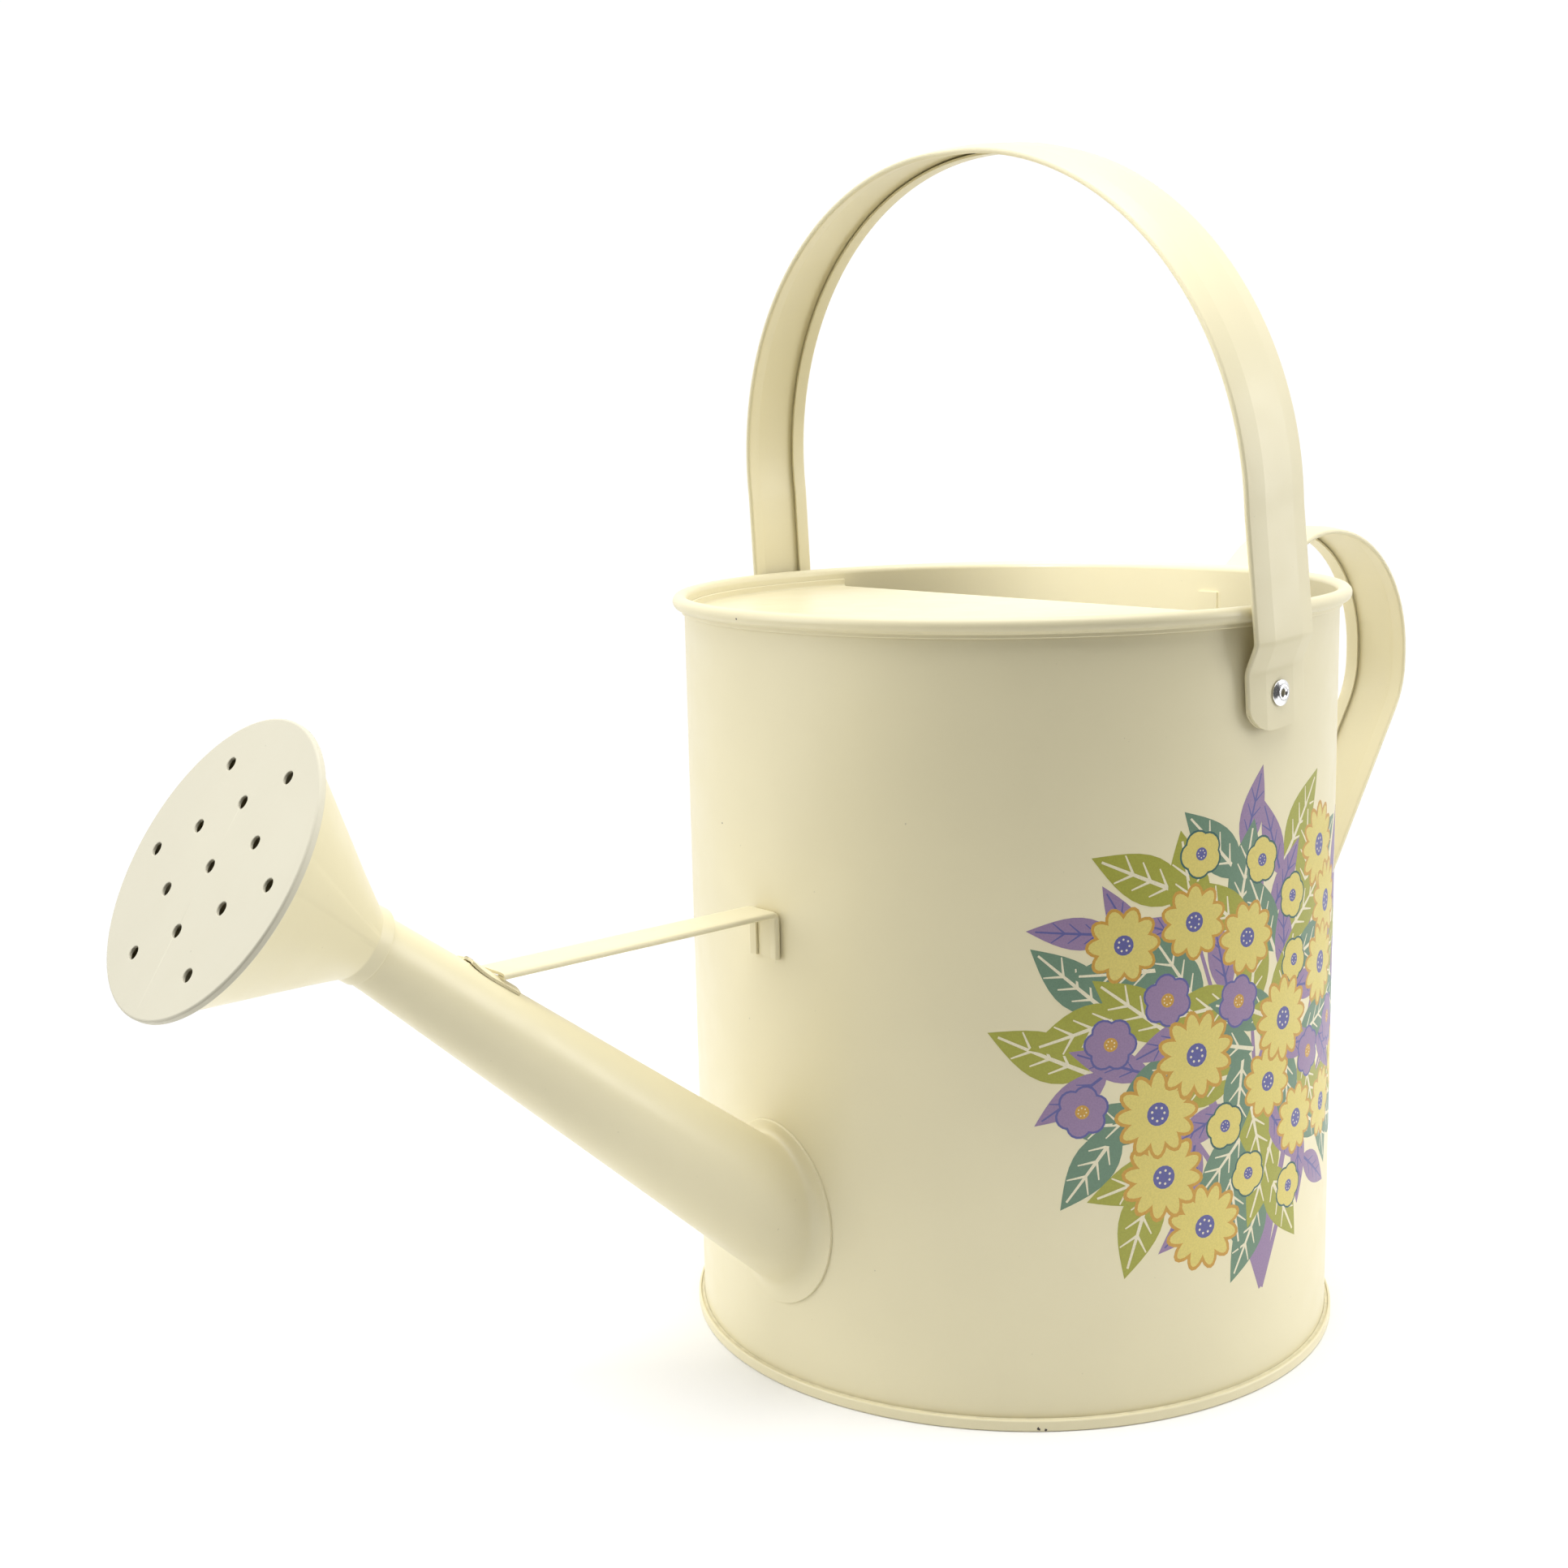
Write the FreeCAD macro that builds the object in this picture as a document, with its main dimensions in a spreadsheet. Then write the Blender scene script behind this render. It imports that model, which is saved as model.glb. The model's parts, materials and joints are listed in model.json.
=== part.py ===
import FreeCAD, Part
import math
import os

import Sketcher

# A steel watering can: a straight drum with a rolled rim and a double-seamed base, a half-moon
# splash guard, a tapered spout with a flat-faced rose and a brace, a fixed rear handle and a
# riveted bail that swings over the mouth.
# Frame: millimetres, +Z up, origin at floor level on the axis of the drum. The spout points
# along -X, the rear handle along +X, and the bail swings about a line along Y.

DIMENSIONS = {
    # drum
    "drum_radius": 87.5,
    "drum_height": 201.0,
    "sheet": 0.7,
    "joint_gap": 0.05,
    "bend_slack": 0.02,
    # rolled rim: a bead round a wire, whose end is tucked down against the wall
    "bead_size": 3.8,
    "lip_drop": 1.3,
    # side seam at the back of the drum
    "lap_width": 7.0,
    "lap_base": 7.0,
    "lap_top": 193.0,
    # double seam that joins the base
    "foot_radius": 89.2,
    "foot_height": 3.0,
    "base_recess": 5.0,
    "inner_ring": 32.0,
    "outer_ring": 64.0,
    "ring_slope": 1.5,
    "ring_rise": 0.9,
    # splash guard
    "guard_level": 195.6,
    "guard_edge": 17.0,
    "guard_flange": 2.2,
    "guard_hem": 3.0,
    # spout, measured along its own axis from where that axis meets the wall
    "spout_root_height": 46.5,
    "spout_tilt": 38.7,
    "spout_root_radius": 15.5,
    "spout_tip_radius": 7.8,
    "spout_length": 152.0,
    "spout_flange": 2.4,
    "spout_fillet": 3.0,
    # rose
    "rose_tilt": 33.8,
    "rose_neck_along": 148.0,
    "rose_neck_radius": 9.1,
    "rose_sleeve": 3.5,
    "rose_length": 38.2,
    "rose_radius": 34.0,
    "rose_rim": 0.9,
    "spray_hole": 3.0,
    "spray_pitch": 14.6,
    # brace between the spout and the wall
    "brace_level": 126.4,
    "brace_width": 11.0,
    "brace_fold": 2.4,
    "brace_reach": 170.0,
    "brace_tab_width": 9.6,
    "brace_tab_drop": 12.5,
    "brace_pad_length": 12.0,
    # hemmed strip that both handles are bent from
    "strip_width": 22.0,
    "strip_flat": 10.6,
    "strip_depth": 2.4,
    "strip_shoulder": 0.75,
    "hem_width": 4.4,
    # rear handle: the corners that its outer face would have if it were bent sharp
    "grip_tab_base": 11.0,
    "grip_tab_length": 19.0,
    "grip_lower_bend": 27.6,
    "grip_upper_bend": 183.9,
    "grip_bend_radius": 10.0,
    "grip_reach": 175.0,
    "grip_heel": 156.5,
    "grip_heel_radius": 28.0,
    "grip_top": 210.0,
    "grip_crown_radius": 41.9,
    "grip_shoulder": 121.0,
    "grip_shoulder_radius": 34.0,
    "weld_spot": 3.5,
    # bail, measured from its pivot
    "pivot_height": 179.4,
    "bail_lean": 5.0,
    "bail_radius": 92.0,
    "bail_flare_radius": 40.0,
    "bail_crown_flat": 3.0,
    "bail_centre_rise": 44.2,
    "bail_leg_reach": 93.4,
    "bail_tab_reach": 90.15,
    "bail_tab_drop": 8.6,
    "bail_tab_corner": 8.0,
    "bail_step_start": 6.0,
    "bail_step_end": 13.0,
    # blind rivets
    "rivet_radius": 1.6,
    "rivet_play": 0.05,
    "rivet_head_radius": 3.25,
    "rivet_head_height": 1.15,
    "rivet_edge_round": 0.2,
    "rivet_dome_round": 1.2,
    "rivet_bulb_radius": 2.45,
    "rivet_bulb_length": 3.4,
    "rivet_bulb_round": 0.9,
    "mandrel_radius": 0.9,
    "mandrel_head_length": 1.2,
}

PLANE_ROLES = {"XY": "XY_Plane", "XZ": "XZ_Plane", "YZ": "YZ_Plane"}

doc = FreeCAD.newDocument("watering_can")
sheet = doc.addObject("Spreadsheet::Sheet", "Sheet")
for row, (alias, size) in enumerate(DIMENSIONS.items(), start=1):
    sheet.set(f"A{row}", alias)
    sheet.set(f"B{row}", str(size))
    sheet.setAlias(f"B{row}", alias)
doc.recompute()


# ---------------------------------------------------------------- helpers

def expression(text):
    """Write a formula of aliases as an expression on the sheet."""
    words = sorted(DIMENSIONS, key=len, reverse=True)
    out = ""
    rest = text
    while rest:
        word = next((name for name in words if rest.startswith(name)), None)
        if word and not (out and (out[-1].isalnum() or out[-1] == "_")):
            out += "Sheet." + word
            rest = rest[len(word):]
        else:
            out += rest[0]
            rest = rest[1:]
    return out


def value(text):
    """The number that a formula of aliases stands for."""
    return float(sheet.evalExpression(expression(text)))


def new_body(label):
    body = doc.addObject("PartDesign::Body", label)
    body.Label = label
    return body


def new_sketch(body, name, plane, offset=None):
    sketch = body.newObject("Sketcher::SketchObject", name)
    role = PLANE_ROLES[plane]
    origin_plane = next(item for item in body.Origin.OriginFeatures if item.Role == role)
    sketch.AttachmentSupport = [(origin_plane, "")]
    sketch.MapMode = "FlatFace"
    if offset:
        sketch.setExpression("AttachmentOffset.Base.z", expression(offset))
    doc.recompute()
    return sketch


def bind(sketch, kind, first, second, formula):
    """Add a size to a sketch and tie it to the sheet."""
    items = [*first, *second, value(formula)]
    number = sketch.addConstraint(Sketcher.Constraint(kind, *items))
    sketch.setExpression(f"Constraints[{number}]", expression(formula))


def pin(sketch, geometry, end, across, up):
    """Hold one point of a sketch at the place that two formulas give."""
    bind(sketch, "DistanceX", (-1, 1), (geometry, end), across)
    bind(sketch, "DistanceY", (-1, 1), (geometry, end), up)


def rounded(sketch, corners, closed=True):
    """Draw straight runs through corners (across, up, radius); radius None keeps one sharp."""
    points = [FreeCAD.Vector(value(across), value(up), 0) for across, up, _ in corners]
    radii = [value(radius) if radius else 0.0 for _, _, radius in corners]
    count = len(points)
    run_total = count if closed else count - 1

    def trimmed(index, other):
        """Where the run between two corners starts, past the first corner's arc."""
        if not radii[index]:
            return points[index]
        before = points[index - 1] - points[index]
        after = points[(index + 1) % count] - points[index]
        cut = radii[index] / math.tan(before.getAngle(after) / 2)
        direction = (points[other] - points[index]).normalize()
        return points[index] + direction * cut

    runs = []
    for index in range(run_total):
        following = (index + 1) % count
        segment = Part.LineSegment(trimmed(index, following), trimmed(following, index))
        runs.append(sketch.addGeometry(segment, False))

    for index in range(count):
        incoming = runs[index - 1] if (closed or index > 0) else None
        outgoing = runs[index] if index < run_total else None
        across, up, radius = corners[index]
        if incoming is None or outgoing is None:
            only, end = (outgoing, 1) if incoming is None else (incoming, 2)
            pin(sketch, only, end, across, up)
        elif not radius:
            sketch.addConstraint(Sketcher.Constraint("Coincident", incoming, 2, outgoing, 1))
            pin(sketch, outgoing, 1, across, up)
        else:
            round_corner(sketch, points, radii, index, incoming, outgoing, corners[index])


def round_corner(sketch, points, radii, index, incoming, outgoing, corner):
    """Join two runs with an arc, and hold the sharp corner that they would meet at."""
    across, up, radius = corner
    here = points[index]
    back = (points[index - 1] - here).normalize()
    ahead = (points[(index + 1) % len(points)] - here).normalize()
    half = back.getAngle(ahead) / 2
    centre = here + (back + ahead).normalize() * (radii[index] / math.sin(half))
    start = here + back * (radii[index] / math.tan(half)) - centre
    stop = here + ahead * (radii[index] / math.tan(half)) - centre
    left_turn = back.cross(ahead).z < 0
    first, last = (start, stop) if left_turn else (stop, start)
    whole = Part.Circle(centre, FreeCAD.Vector(0, 0, 1), radii[index])
    arc = sketch.addGeometry(
        Part.ArcOfCircle(whole, math.atan2(first.y, first.x), math.atan2(last.y, last.x)), False)
    near_end, far_end = (1, 2) if left_turn else (2, 1)
    sketch.addConstraint(Sketcher.Constraint("Tangent", incoming, 2, arc, near_end))
    sketch.addConstraint(Sketcher.Constraint("Tangent", outgoing, 1, arc, far_end))
    vertex = sketch.addGeometry(Part.Point(here), True)
    pin(sketch, vertex, 1, across, up)
    sketch.addConstraint(Sketcher.Constraint("PointOnObject", vertex, 1, incoming))
    sketch.addConstraint(Sketcher.Constraint("PointOnObject", vertex, 1, outgoing))
    bind(sketch, "Radius", (arc,), (), radius)


def circle(sketch, across, up, radius):
    centre = FreeCAD.Vector(value(across), value(up), 0)
    ring = Part.Circle(centre, FreeCAD.Vector(0, 0, 1), value(radius))
    number = sketch.addGeometry(ring, False)
    pin(sketch, number, 3, across, up)
    bind(sketch, "Radius", (number,), (), radius)


def revolve(body, sketch, name="Turning"):
    turning = body.newObject("PartDesign::Revolution", name)
    turning.Profile = sketch
    turning.ReferenceAxis = (sketch, ["V_Axis"])
    turning.Angle = 360
    doc.recompute()
    return turning


def pad(body, sketch, length, name):
    feature = body.newObject("PartDesign::Pad", name)
    feature.Profile = sketch
    feature.setExpression("Length", expression(length))
    doc.recompute()
    return feature


def pierce(body, sketch, name, length=None):
    """Cut a sketch through a body, both ways or for a length, and see that something went."""
    before = body.Shape.Volume
    feature = body.newObject("PartDesign::Pocket", name)
    feature.Profile = sketch
    if length:
        feature.setExpression("Length", expression(length))
    else:
        feature.Type = "ThroughAll"
        feature.Midplane = True
    doc.recompute()
    if body.Shape.Volume > before - 1e-3:
        raise RuntimeError(f"{name} in {body.Label} removed nothing")
    return feature


def ring_of(body, feature, sketch, count, name):
    pattern = body.newObject("PartDesign::PolarPattern", name)
    pattern.Originals = [feature]
    pattern.Axis = (sketch, ["N_Axis"])
    pattern.Angle = 360
    pattern.Occurrences = count
    body.Tip = pattern
    doc.recompute()
    return pattern


def sweep(body, profile, route, name="Strip"):
    pipe = body.newObject("PartDesign::AdditivePipe", name)
    pipe.Profile = profile
    pipe.Spine = route
    doc.recompute()
    return pipe


def primitive(kind, name, placement=None, **sizes):
    """A Part primitive whose sizes are formulas of the sheet."""
    item = doc.addObject(kind, name)
    for size, formula in sizes.items():
        item.setExpression(size, expression(formula))
    if placement:
        item.Placement = placement
    return item


def boolean(kind, name, first, second):
    item = doc.addObject(kind, name)
    item.Base = first
    item.Tool = second
    doc.recompute()
    return item


def spout_frame(along, tilt="spout_tilt"):
    """The frame whose origin is on the spout's axis and whose Z points out along a tilt."""
    lean = math.radians(value("spout_tilt"))
    start = FreeCAD.Vector(-value("drum_radius"), 0, value("spout_root_height"))
    outwards = FreeCAD.Vector(-math.cos(lean), 0, math.sin(lean))
    turn = FreeCAD.Rotation(FreeCAD.Vector(0, 1, 0), value(tilt) - 90)
    return FreeCAD.Placement(start + outwards * along, turn)


# ---------------------------------------------------------------- drum

def body_shell():
    """Wall, rolled rim and bottom hook in one turned section, with seam and holes."""
    body = new_body("body_shell")
    section = new_sketch(body, "Section", "XZ")
    outer = "drum_radius"
    inner = "drum_radius - sheet"
    bead_edge = "drum_radius - sheet + bead_size"
    bead_foot = "drum_height - bead_size"
    lip_face = "drum_radius + joint_gap + sheet"
    rounded(section, [
        (inner, "sheet + joint_gap", None),
        ("foot_radius - sheet - joint_gap", "sheet + joint_gap", None),
        ("foot_radius - sheet - joint_gap", "2 * sheet + joint_gap", None),
        (outer, "2 * sheet + joint_gap", None),
        (outer, "drum_height - sheet", "bead_size / 2 - sheet - bend_slack"),
        (bead_edge + " - sheet", "drum_height - sheet", "bead_size / 2 - sheet - bend_slack"),
        (bead_edge + " - sheet", bead_foot + " + sheet", "bead_size / 2 - sheet - bend_slack"),
        ("drum_radius + joint_gap", bead_foot + " + sheet", None),
        ("drum_radius + joint_gap", bead_foot + " - lip_drop", None),
        (lip_face, bead_foot + " - lip_drop", None),
        (lip_face, bead_foot, None),
        (bead_edge, bead_foot, "bead_size / 2 - bend_slack"),
        (bead_edge, "drum_height", "bead_size / 2 - bend_slack"),
        (inner, "drum_height", "bead_size / 2 - bend_slack"),
    ])
    revolve(body, section, "Wall")

    lap = new_sketch(body, "LapOutline", "XZ")
    rounded(lap, [
        ("drum_radius - 2 * sheet", "lap_base", None),
        ("drum_radius - sheet / 2", "lap_base", None),
        ("drum_radius - sheet / 2", "lap_top", None),
        ("drum_radius - 2 * sheet", "lap_top", None),
    ])
    seam = body.newObject("PartDesign::Revolution", "LapSeam")
    seam.Profile = lap
    seam.ReferenceAxis = (lap, ["V_Axis"])
    seam.setExpression("Angle", expression("lap_width / drum_radius * 1rad"))
    seam.Midplane = True
    doc.recompute()

    rivet_holes = new_sketch(body, "RivetHoles", "XZ")
    circle(rivet_holes, "0", "pivot_height", "rivet_radius")
    pierce(body, rivet_holes, "RivetDrilling")

    mouth = new_sketch(body, "SpoutMouth", "YZ")
    circle(mouth, "0", "spout_root_height", "spout_root_radius - 2 * sheet")
    pierce(body, mouth, "SpoutOpening", "drum_radius + sheet")
    return body


def rim_wire():
    """The wire that the rim is rolled round."""
    middle = "drum_radius - sheet + bead_size / 2"
    wire = primitive("Part::Torus", "rim_wire", Radius1=middle,
                     Radius2="bead_size / 2 - sheet - joint_gap")
    wire.Placement.Base.z = value("drum_height - bead_size / 2")
    return wire


def base_disc():
    """Sunk base with two pressed rings; its edge runs down inside the wall and up outside it."""
    body = new_body("base_disc")
    section = new_sketch(body, "Section", "XZ")
    inside = "drum_radius - sheet - joint_gap"

    def pressed_rings(level):
        """Corners of the two low ridges that stiffen the base, from the middle outwards."""
        corners = []
        for ring in ("inner_ring", "outer_ring"):
            corners += [
                (f"{ring} - 2 * ring_slope", level, None),
                (f"{ring} - ring_slope", f"{level} + ring_rise", None),
                (f"{ring} + ring_slope", f"{level} + ring_rise", None),
                (f"{ring} + 2 * ring_slope", level, None),
            ]
        return corners

    rounded(section, [
        ("0", "base_recess", None),
        *pressed_rings("base_recess"),
        (inside + " - sheet", "base_recess", "1.4 * sheet"),
        (inside + " - sheet", "0", "0.9 * sheet"),
        ("foot_radius", "0", "0.9 * sheet"),
        ("foot_radius", "foot_height", "0.6 * sheet"),
        ("foot_radius - sheet", "foot_height", None),
        ("foot_radius - sheet", "sheet", None),
        (inside, "sheet", None),
        (inside, "base_recess + sheet", "2 * sheet"),
        *reversed(pressed_rings("base_recess + sheet")),
        ("0", "base_recess + sheet", None),
    ])
    revolve(body, section, "Pressing")
    return body


def base_seam_seal():
    """Sealing compound in the space above the wall's hook, inside the seam."""
    body = new_body("base_seam_seal")
    section = new_sketch(body, "Section", "XZ")
    inside = "drum_radius + joint_gap"
    outside = "foot_radius - sheet - joint_gap"
    rounded(section, [
        (inside, "2 * sheet + 2 * joint_gap", None),
        (outside, "2 * sheet + 2 * joint_gap", None),
        (outside, "foot_height - 0.3", None),
        (inside, "foot_height - 0.1", None),
    ])
    revolve(body, section, "Bead")
    return body


def splash_guard():
    """Half-moon plate under the rim, with an upturned edge round the wall and a hemmed front."""
    disc = primitive("Part::Cylinder", "GuardDisc",
                     Radius="drum_radius - sheet - joint_gap",
                     Height="guard_flange + guard_hem")
    disc.Placement.Base.z = value("guard_level - guard_hem")
    tray_top = primitive("Part::Cylinder", "GuardTrayTop",
                         Radius="drum_radius - 2 * sheet - joint_gap", Height="2 * guard_flange")
    tray_top.Placement.Base.z = value("guard_level")
    tray_under = primitive("Part::Box", "GuardTrayUnder", Length="2 * drum_radius",
                           Width="2 * drum_radius", Height="2 * guard_hem - sheet")
    tray_under.Placement.Base = FreeCAD.Vector(
        value("guard_edge - sheet - 2 * drum_radius"), -value("drum_radius"),
        value("guard_level - 2 * guard_hem"))
    mouth = primitive("Part::Box", "GuardMouth", Length="2 * drum_radius",
                      Width="2 * drum_radius", Height="4 * guard_hem + guard_flange")
    mouth.Placement.Base = FreeCAD.Vector(
        value("guard_edge"), -value("drum_radius"), value("guard_level - 2 * guard_hem"))
    plate = boolean("Part::Cut", "GuardPlate", disc, tray_top)
    shallow = boolean("Part::Cut", "GuardShallow", plate, tray_under)
    guard = boolean("Part::Cut", "splash_guard", shallow, mouth)
    return guard


# ---------------------------------------------------------------- spout and rose

def spout_cone(name, start, stop, inset):
    """A length of the spout's taper as a solid cone, drawn in by an inset."""
    slope = "(spout_root_radius - spout_tip_radius) / spout_length"
    return primitive("Part::Cone", name, spout_frame(value(start)),
                     Radius1=f"spout_root_radius - ({slope}) * ({start}) - ({inset})",
                     Radius2=f"spout_root_radius - ({slope}) * ({stop}) - ({inset})",
                     Height=f"({stop}) - ({start})")


def spout_tube():
    """Tapered tube with a filleted saddle flange that lies on the wall."""
    inner_start = "0 - 2 * spout_root_radius"
    cone = spout_cone("SpoutOuter", inner_start, "spout_length", "0")
    saddle = primitive("Part::Cylinder", "SpoutSaddle",
                       Radius="drum_radius + joint_gap + sheet", Height="6 * spout_root_radius")
    saddle.Placement.Base.z = value("spout_root_height - 3 * spout_root_radius")
    joined = boolean("Part::Fuse", "SpoutJoined", cone, saddle)

    root = FreeCAD.Vector(-value("drum_radius"), 0, value("spout_root_height"))
    reach = value("3 * spout_root_radius")
    curved = [(number, edge) for number, edge in enumerate(joined.Shape.Edges, start=1)
              if edge.CenterOfMass.sub(root).Length < reach
              and edge.Curve.TypeId not in ("Part::GeomLine", "Part::GeomCircle")]
    blend = doc.addObject("Part::Fillet", "SpoutBlend")
    blend.Base = joined
    radius = value("spout_fillet")
    blend.Edges = [(number, radius, radius) for number, _ in curved]
    doc.recompute()

    collar = primitive("Part::Cylinder", "SpoutCollar",
                       spout_frame(value(inner_start)),
                       Radius="spout_root_radius + spout_flange",
                       Height="4 * spout_root_radius")
    sleeve = boolean("Part::Fuse", "SpoutEnvelope", collar, cone)
    kept = boolean("Part::Common", "SpoutKept", blend, sleeve)
    drum = primitive("Part::Cylinder", "SpoutDrum", Radius="drum_radius + joint_gap",
                     Height="drum_height")
    outside = boolean("Part::Cut", "SpoutOutside", kept, drum)
    bore = spout_cone("SpoutBore", inner_start + " - sheet", "spout_length + sheet", "sheet")
    return boolean("Part::Cut", "spout_tube", outside, bore)


def rose_cone():
    """Sheet cone from a short sleeve over the spout's tip to a flanged edge behind the face."""
    body = new_body("rose_cone")
    section = new_sketch(body, "Section", "XZ")
    edge = "rose_radius - 2 * sheet"
    rounded(section, [
        ("rose_neck_radius - sheet", "0 - rose_sleeve", None),
        ("rose_neck_radius", "0 - rose_sleeve", None),
        ("rose_neck_radius", "0", "2 * sheet"),
        (edge, "rose_length - 2 * sheet", None),
        ("rose_radius - sheet - joint_gap", "rose_length - 2 * sheet", None),
        ("rose_radius - sheet - joint_gap", "rose_length - sheet - joint_gap", None),
        (edge + " - 1.2 * sheet", "rose_length - sheet - joint_gap", None),
        ("rose_neck_radius - sheet", "0.9 * sheet", "2 * sheet"),
    ])
    revolve(body, section, "Cone")
    body.Placement = spout_frame(value("rose_neck_along"), "rose_tilt")
    return body


def rose_face():
    """Flat disc whose edge is folded back round the cone, with thirteen spray holes."""
    body = new_body("rose_face")
    section = new_sketch(body, "Section", "XZ")
    rounded(section, [
        ("0", "rose_length - sheet", None),
        ("rose_radius - sheet", "rose_length - sheet", None),
        ("rose_radius - sheet", "rose_length - rose_rim - sheet", None),
        ("rose_radius", "rose_length - rose_rim - sheet", None),
        ("rose_radius", "rose_length", "0.7 * sheet"),
        ("0", "rose_length", None),
    ])
    revolve(body, section, "Disc")

    middle = new_sketch(body, "MiddleHole", "XY")
    circle(middle, "0", "0", "spray_hole / 2")
    pierce(body, middle, "MiddleSpray")
    inner = new_sketch(body, "InnerHole", "XY")
    circle(inner, "spray_pitch", "0", "spray_hole / 2")
    inner_hole = pierce(body, inner, "InnerSpray")
    ring_of(body, inner_hole, inner, 6, "InnerRing")
    outer = new_sketch(body, "OuterHole", "XY")
    circle(outer, "1.5 * spray_pitch", "sqrt(0.75) * spray_pitch", "spray_hole / 2")
    outer_hole = pierce(body, outer, "OuterSpray")
    ring_of(body, outer_hole, outer, 6, "OuterRing")
    body.Placement = spout_frame(value("rose_neck_along"), "rose_tilt")
    return body


def spout_brace():
    """Strip with folded edges, a ribbed tab on the wall and a saddle on the spout."""
    channel = new_body("BraceChannel")
    section = new_sketch(channel, "Section", "YZ", "0 - brace_reach")
    half = "(brace_width / 2)"
    rounded(section, [
        ("0 - " + half, "brace_level - brace_fold", None),
        ("0 - " + half, "brace_level", "1.4 * sheet"),
        (half, "brace_level", "1.4 * sheet"),
        (half, "brace_level - brace_fold", None),
        (half + " - sheet", "brace_level - brace_fold", None),
        (half + " - sheet", "brace_level - sheet", "0.4 * sheet"),
        ("0 - " + half + " + sheet", "brace_level - sheet", "0.4 * sheet"),
        ("0 - " + half + " + sheet", "brace_level - brace_fold", None),
    ])
    pad(channel, section, "brace_reach - drum_radius + 1", "Strip")
    wall = primitive("Part::Cylinder", "BraceWall", Radius="drum_radius + joint_gap",
                     Height="drum_height")
    spout = spout_cone("BraceSpout", "0", "spout_length", "0 - joint_gap")
    trimmed = boolean("Part::Cut", "BraceTrimmed", channel, wall)
    strip = boolean("Part::Cut", "BraceStrip", trimmed, spout)

    tab_skin = primitive("Part::Cylinder", "BraceTabSkin",
                         Radius="drum_radius + joint_gap + sheet", Height="drum_height")
    tab_box = primitive("Part::Box", "BraceTabBox", Length="drum_radius",
                        Width="brace_tab_width", Height="brace_tab_drop")
    tab_box.Placement.Base = FreeCAD.Vector(
        -value("1.5 * drum_radius"), -value("brace_tab_width / 2"),
        value("brace_level - brace_tab_drop"))
    tab_outer = boolean("Part::Common", "BraceTabOuter", tab_skin, tab_box)
    tab = boolean("Part::Cut", "BraceTab", tab_outer, wall)

    ribs = []
    for side, name in ((-1, "BraceRibNear"), (1, "BraceRibFar")):
        rib = primitive("Part::Cylinder", name, Radius="1.2 * sheet", Height="brace_tab_drop")
        rib.Placement.Base = FreeCAD.Vector(
            -value("drum_radius + 1.25 * sheet"), side * value("brace_tab_width / 4"),
            value("brace_level - brace_tab_drop"))
        ribs.append(rib)
    rib_pair = boolean("Part::Fuse", "BraceRibs", *ribs)
    rib_fit = boolean("Part::Cut", "BraceRibFit", rib_pair, wall)

    pad_skin = spout_cone("BracePadSkin", "0", "spout_length", "0 - sheet - joint_gap")
    pad_box = primitive("Part::Box", "BracePadBox", Length="brace_pad_length",
                        Width="brace_width", Height="2 * spout_root_radius")
    pad_box.Placement.Base = FreeCAD.Vector(
        -value("brace_reach + brace_pad_length / 2"), -value("brace_width / 2"),
        value("brace_level - brace_pad_length"))
    pad_outer = boolean("Part::Common", "BracePadOuter", pad_skin, pad_box)
    pad_fit = boolean("Part::Cut", "BracePad", pad_outer, spout)

    brace = doc.addObject("Part::MultiFuse", "spout_brace")
    brace.Shapes = [strip, tab, rib_fit, pad_fit]
    doc.recompute()
    return brace


# ---------------------------------------------------------------- handles

def strip_section(sketch, face_out):
    """Hemmed strip: flat middle, sloping shoulders, thick hems and a recess behind.

    face_out is the formula for how far the strip's outer face is from the sketch's origin.
    """
    edge = "(strip_width / 2)"
    flat = "(strip_flat / 2)"
    hem = "(strip_width / 2 - hem_width)"
    back = f"{face_out} - strip_depth"
    shoulder = f"{face_out} - strip_shoulder"
    rounded(sketch, [
        ("0 - " + flat, face_out, None),
        ("0 - " + edge, shoulder, "0.7 * sheet"),
        ("0 - " + edge, back, "0.7 * sheet"),
        ("0 - " + hem, back, None),
        ("0 - " + hem, f"{face_out} - sheet", None),
        (hem, f"{face_out} - sheet", None),
        (hem, back, None),
        (edge, back, "0.7 * sheet"),
        (edge, shoulder, "0.7 * sheet"),
        (flat, face_out, None),
    ])


def rear_handle():
    """Strip bent from a tab low on the wall, out and over, to a tab under the rim.

    The lower tab has its recess to the wall, dimpled down at the weld, and the upper tab its
    outer face. It is drawn with outwards along Y, like the bail, and turned to face +X.
    """
    body = new_body("rear_handle")
    tab_face = "drum_radius + joint_gap + strip_depth"
    route = new_sketch(body, "Route", "YZ")
    rounded(route, [
        (tab_face, "grip_tab_base", None),
        (tab_face, "grip_lower_bend", "grip_bend_radius"),
        ("grip_reach", "grip_heel", "grip_heel_radius"),
        ("grip_reach", "grip_top", "grip_crown_radius"),
        ("grip_shoulder", "grip_top", "grip_shoulder_radius"),
        ("drum_radius + joint_gap", "grip_upper_bend", "grip_bend_radius"),
        ("drum_radius + joint_gap", "grip_upper_bend - grip_tab_length", None),
    ], closed=False)
    section = new_sketch(body, "Section", "XY", "grip_tab_base")
    strip_section(section, tab_face)
    sweep(body, section, route)

    spot = new_sketch(body, "WeldSpot", "XZ", f"0 - ({tab_face}) + sheet / 2")
    circle(spot, "0", "(grip_tab_base + grip_lower_bend) / 2 - 1", "weld_spot")
    pad(body, spot, "strip_depth - sheet / 2", "WeldDimple")
    body.Placement.Rotation = FreeCAD.Rotation(FreeCAD.Vector(0, 0, 1), -90)
    return body


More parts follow.
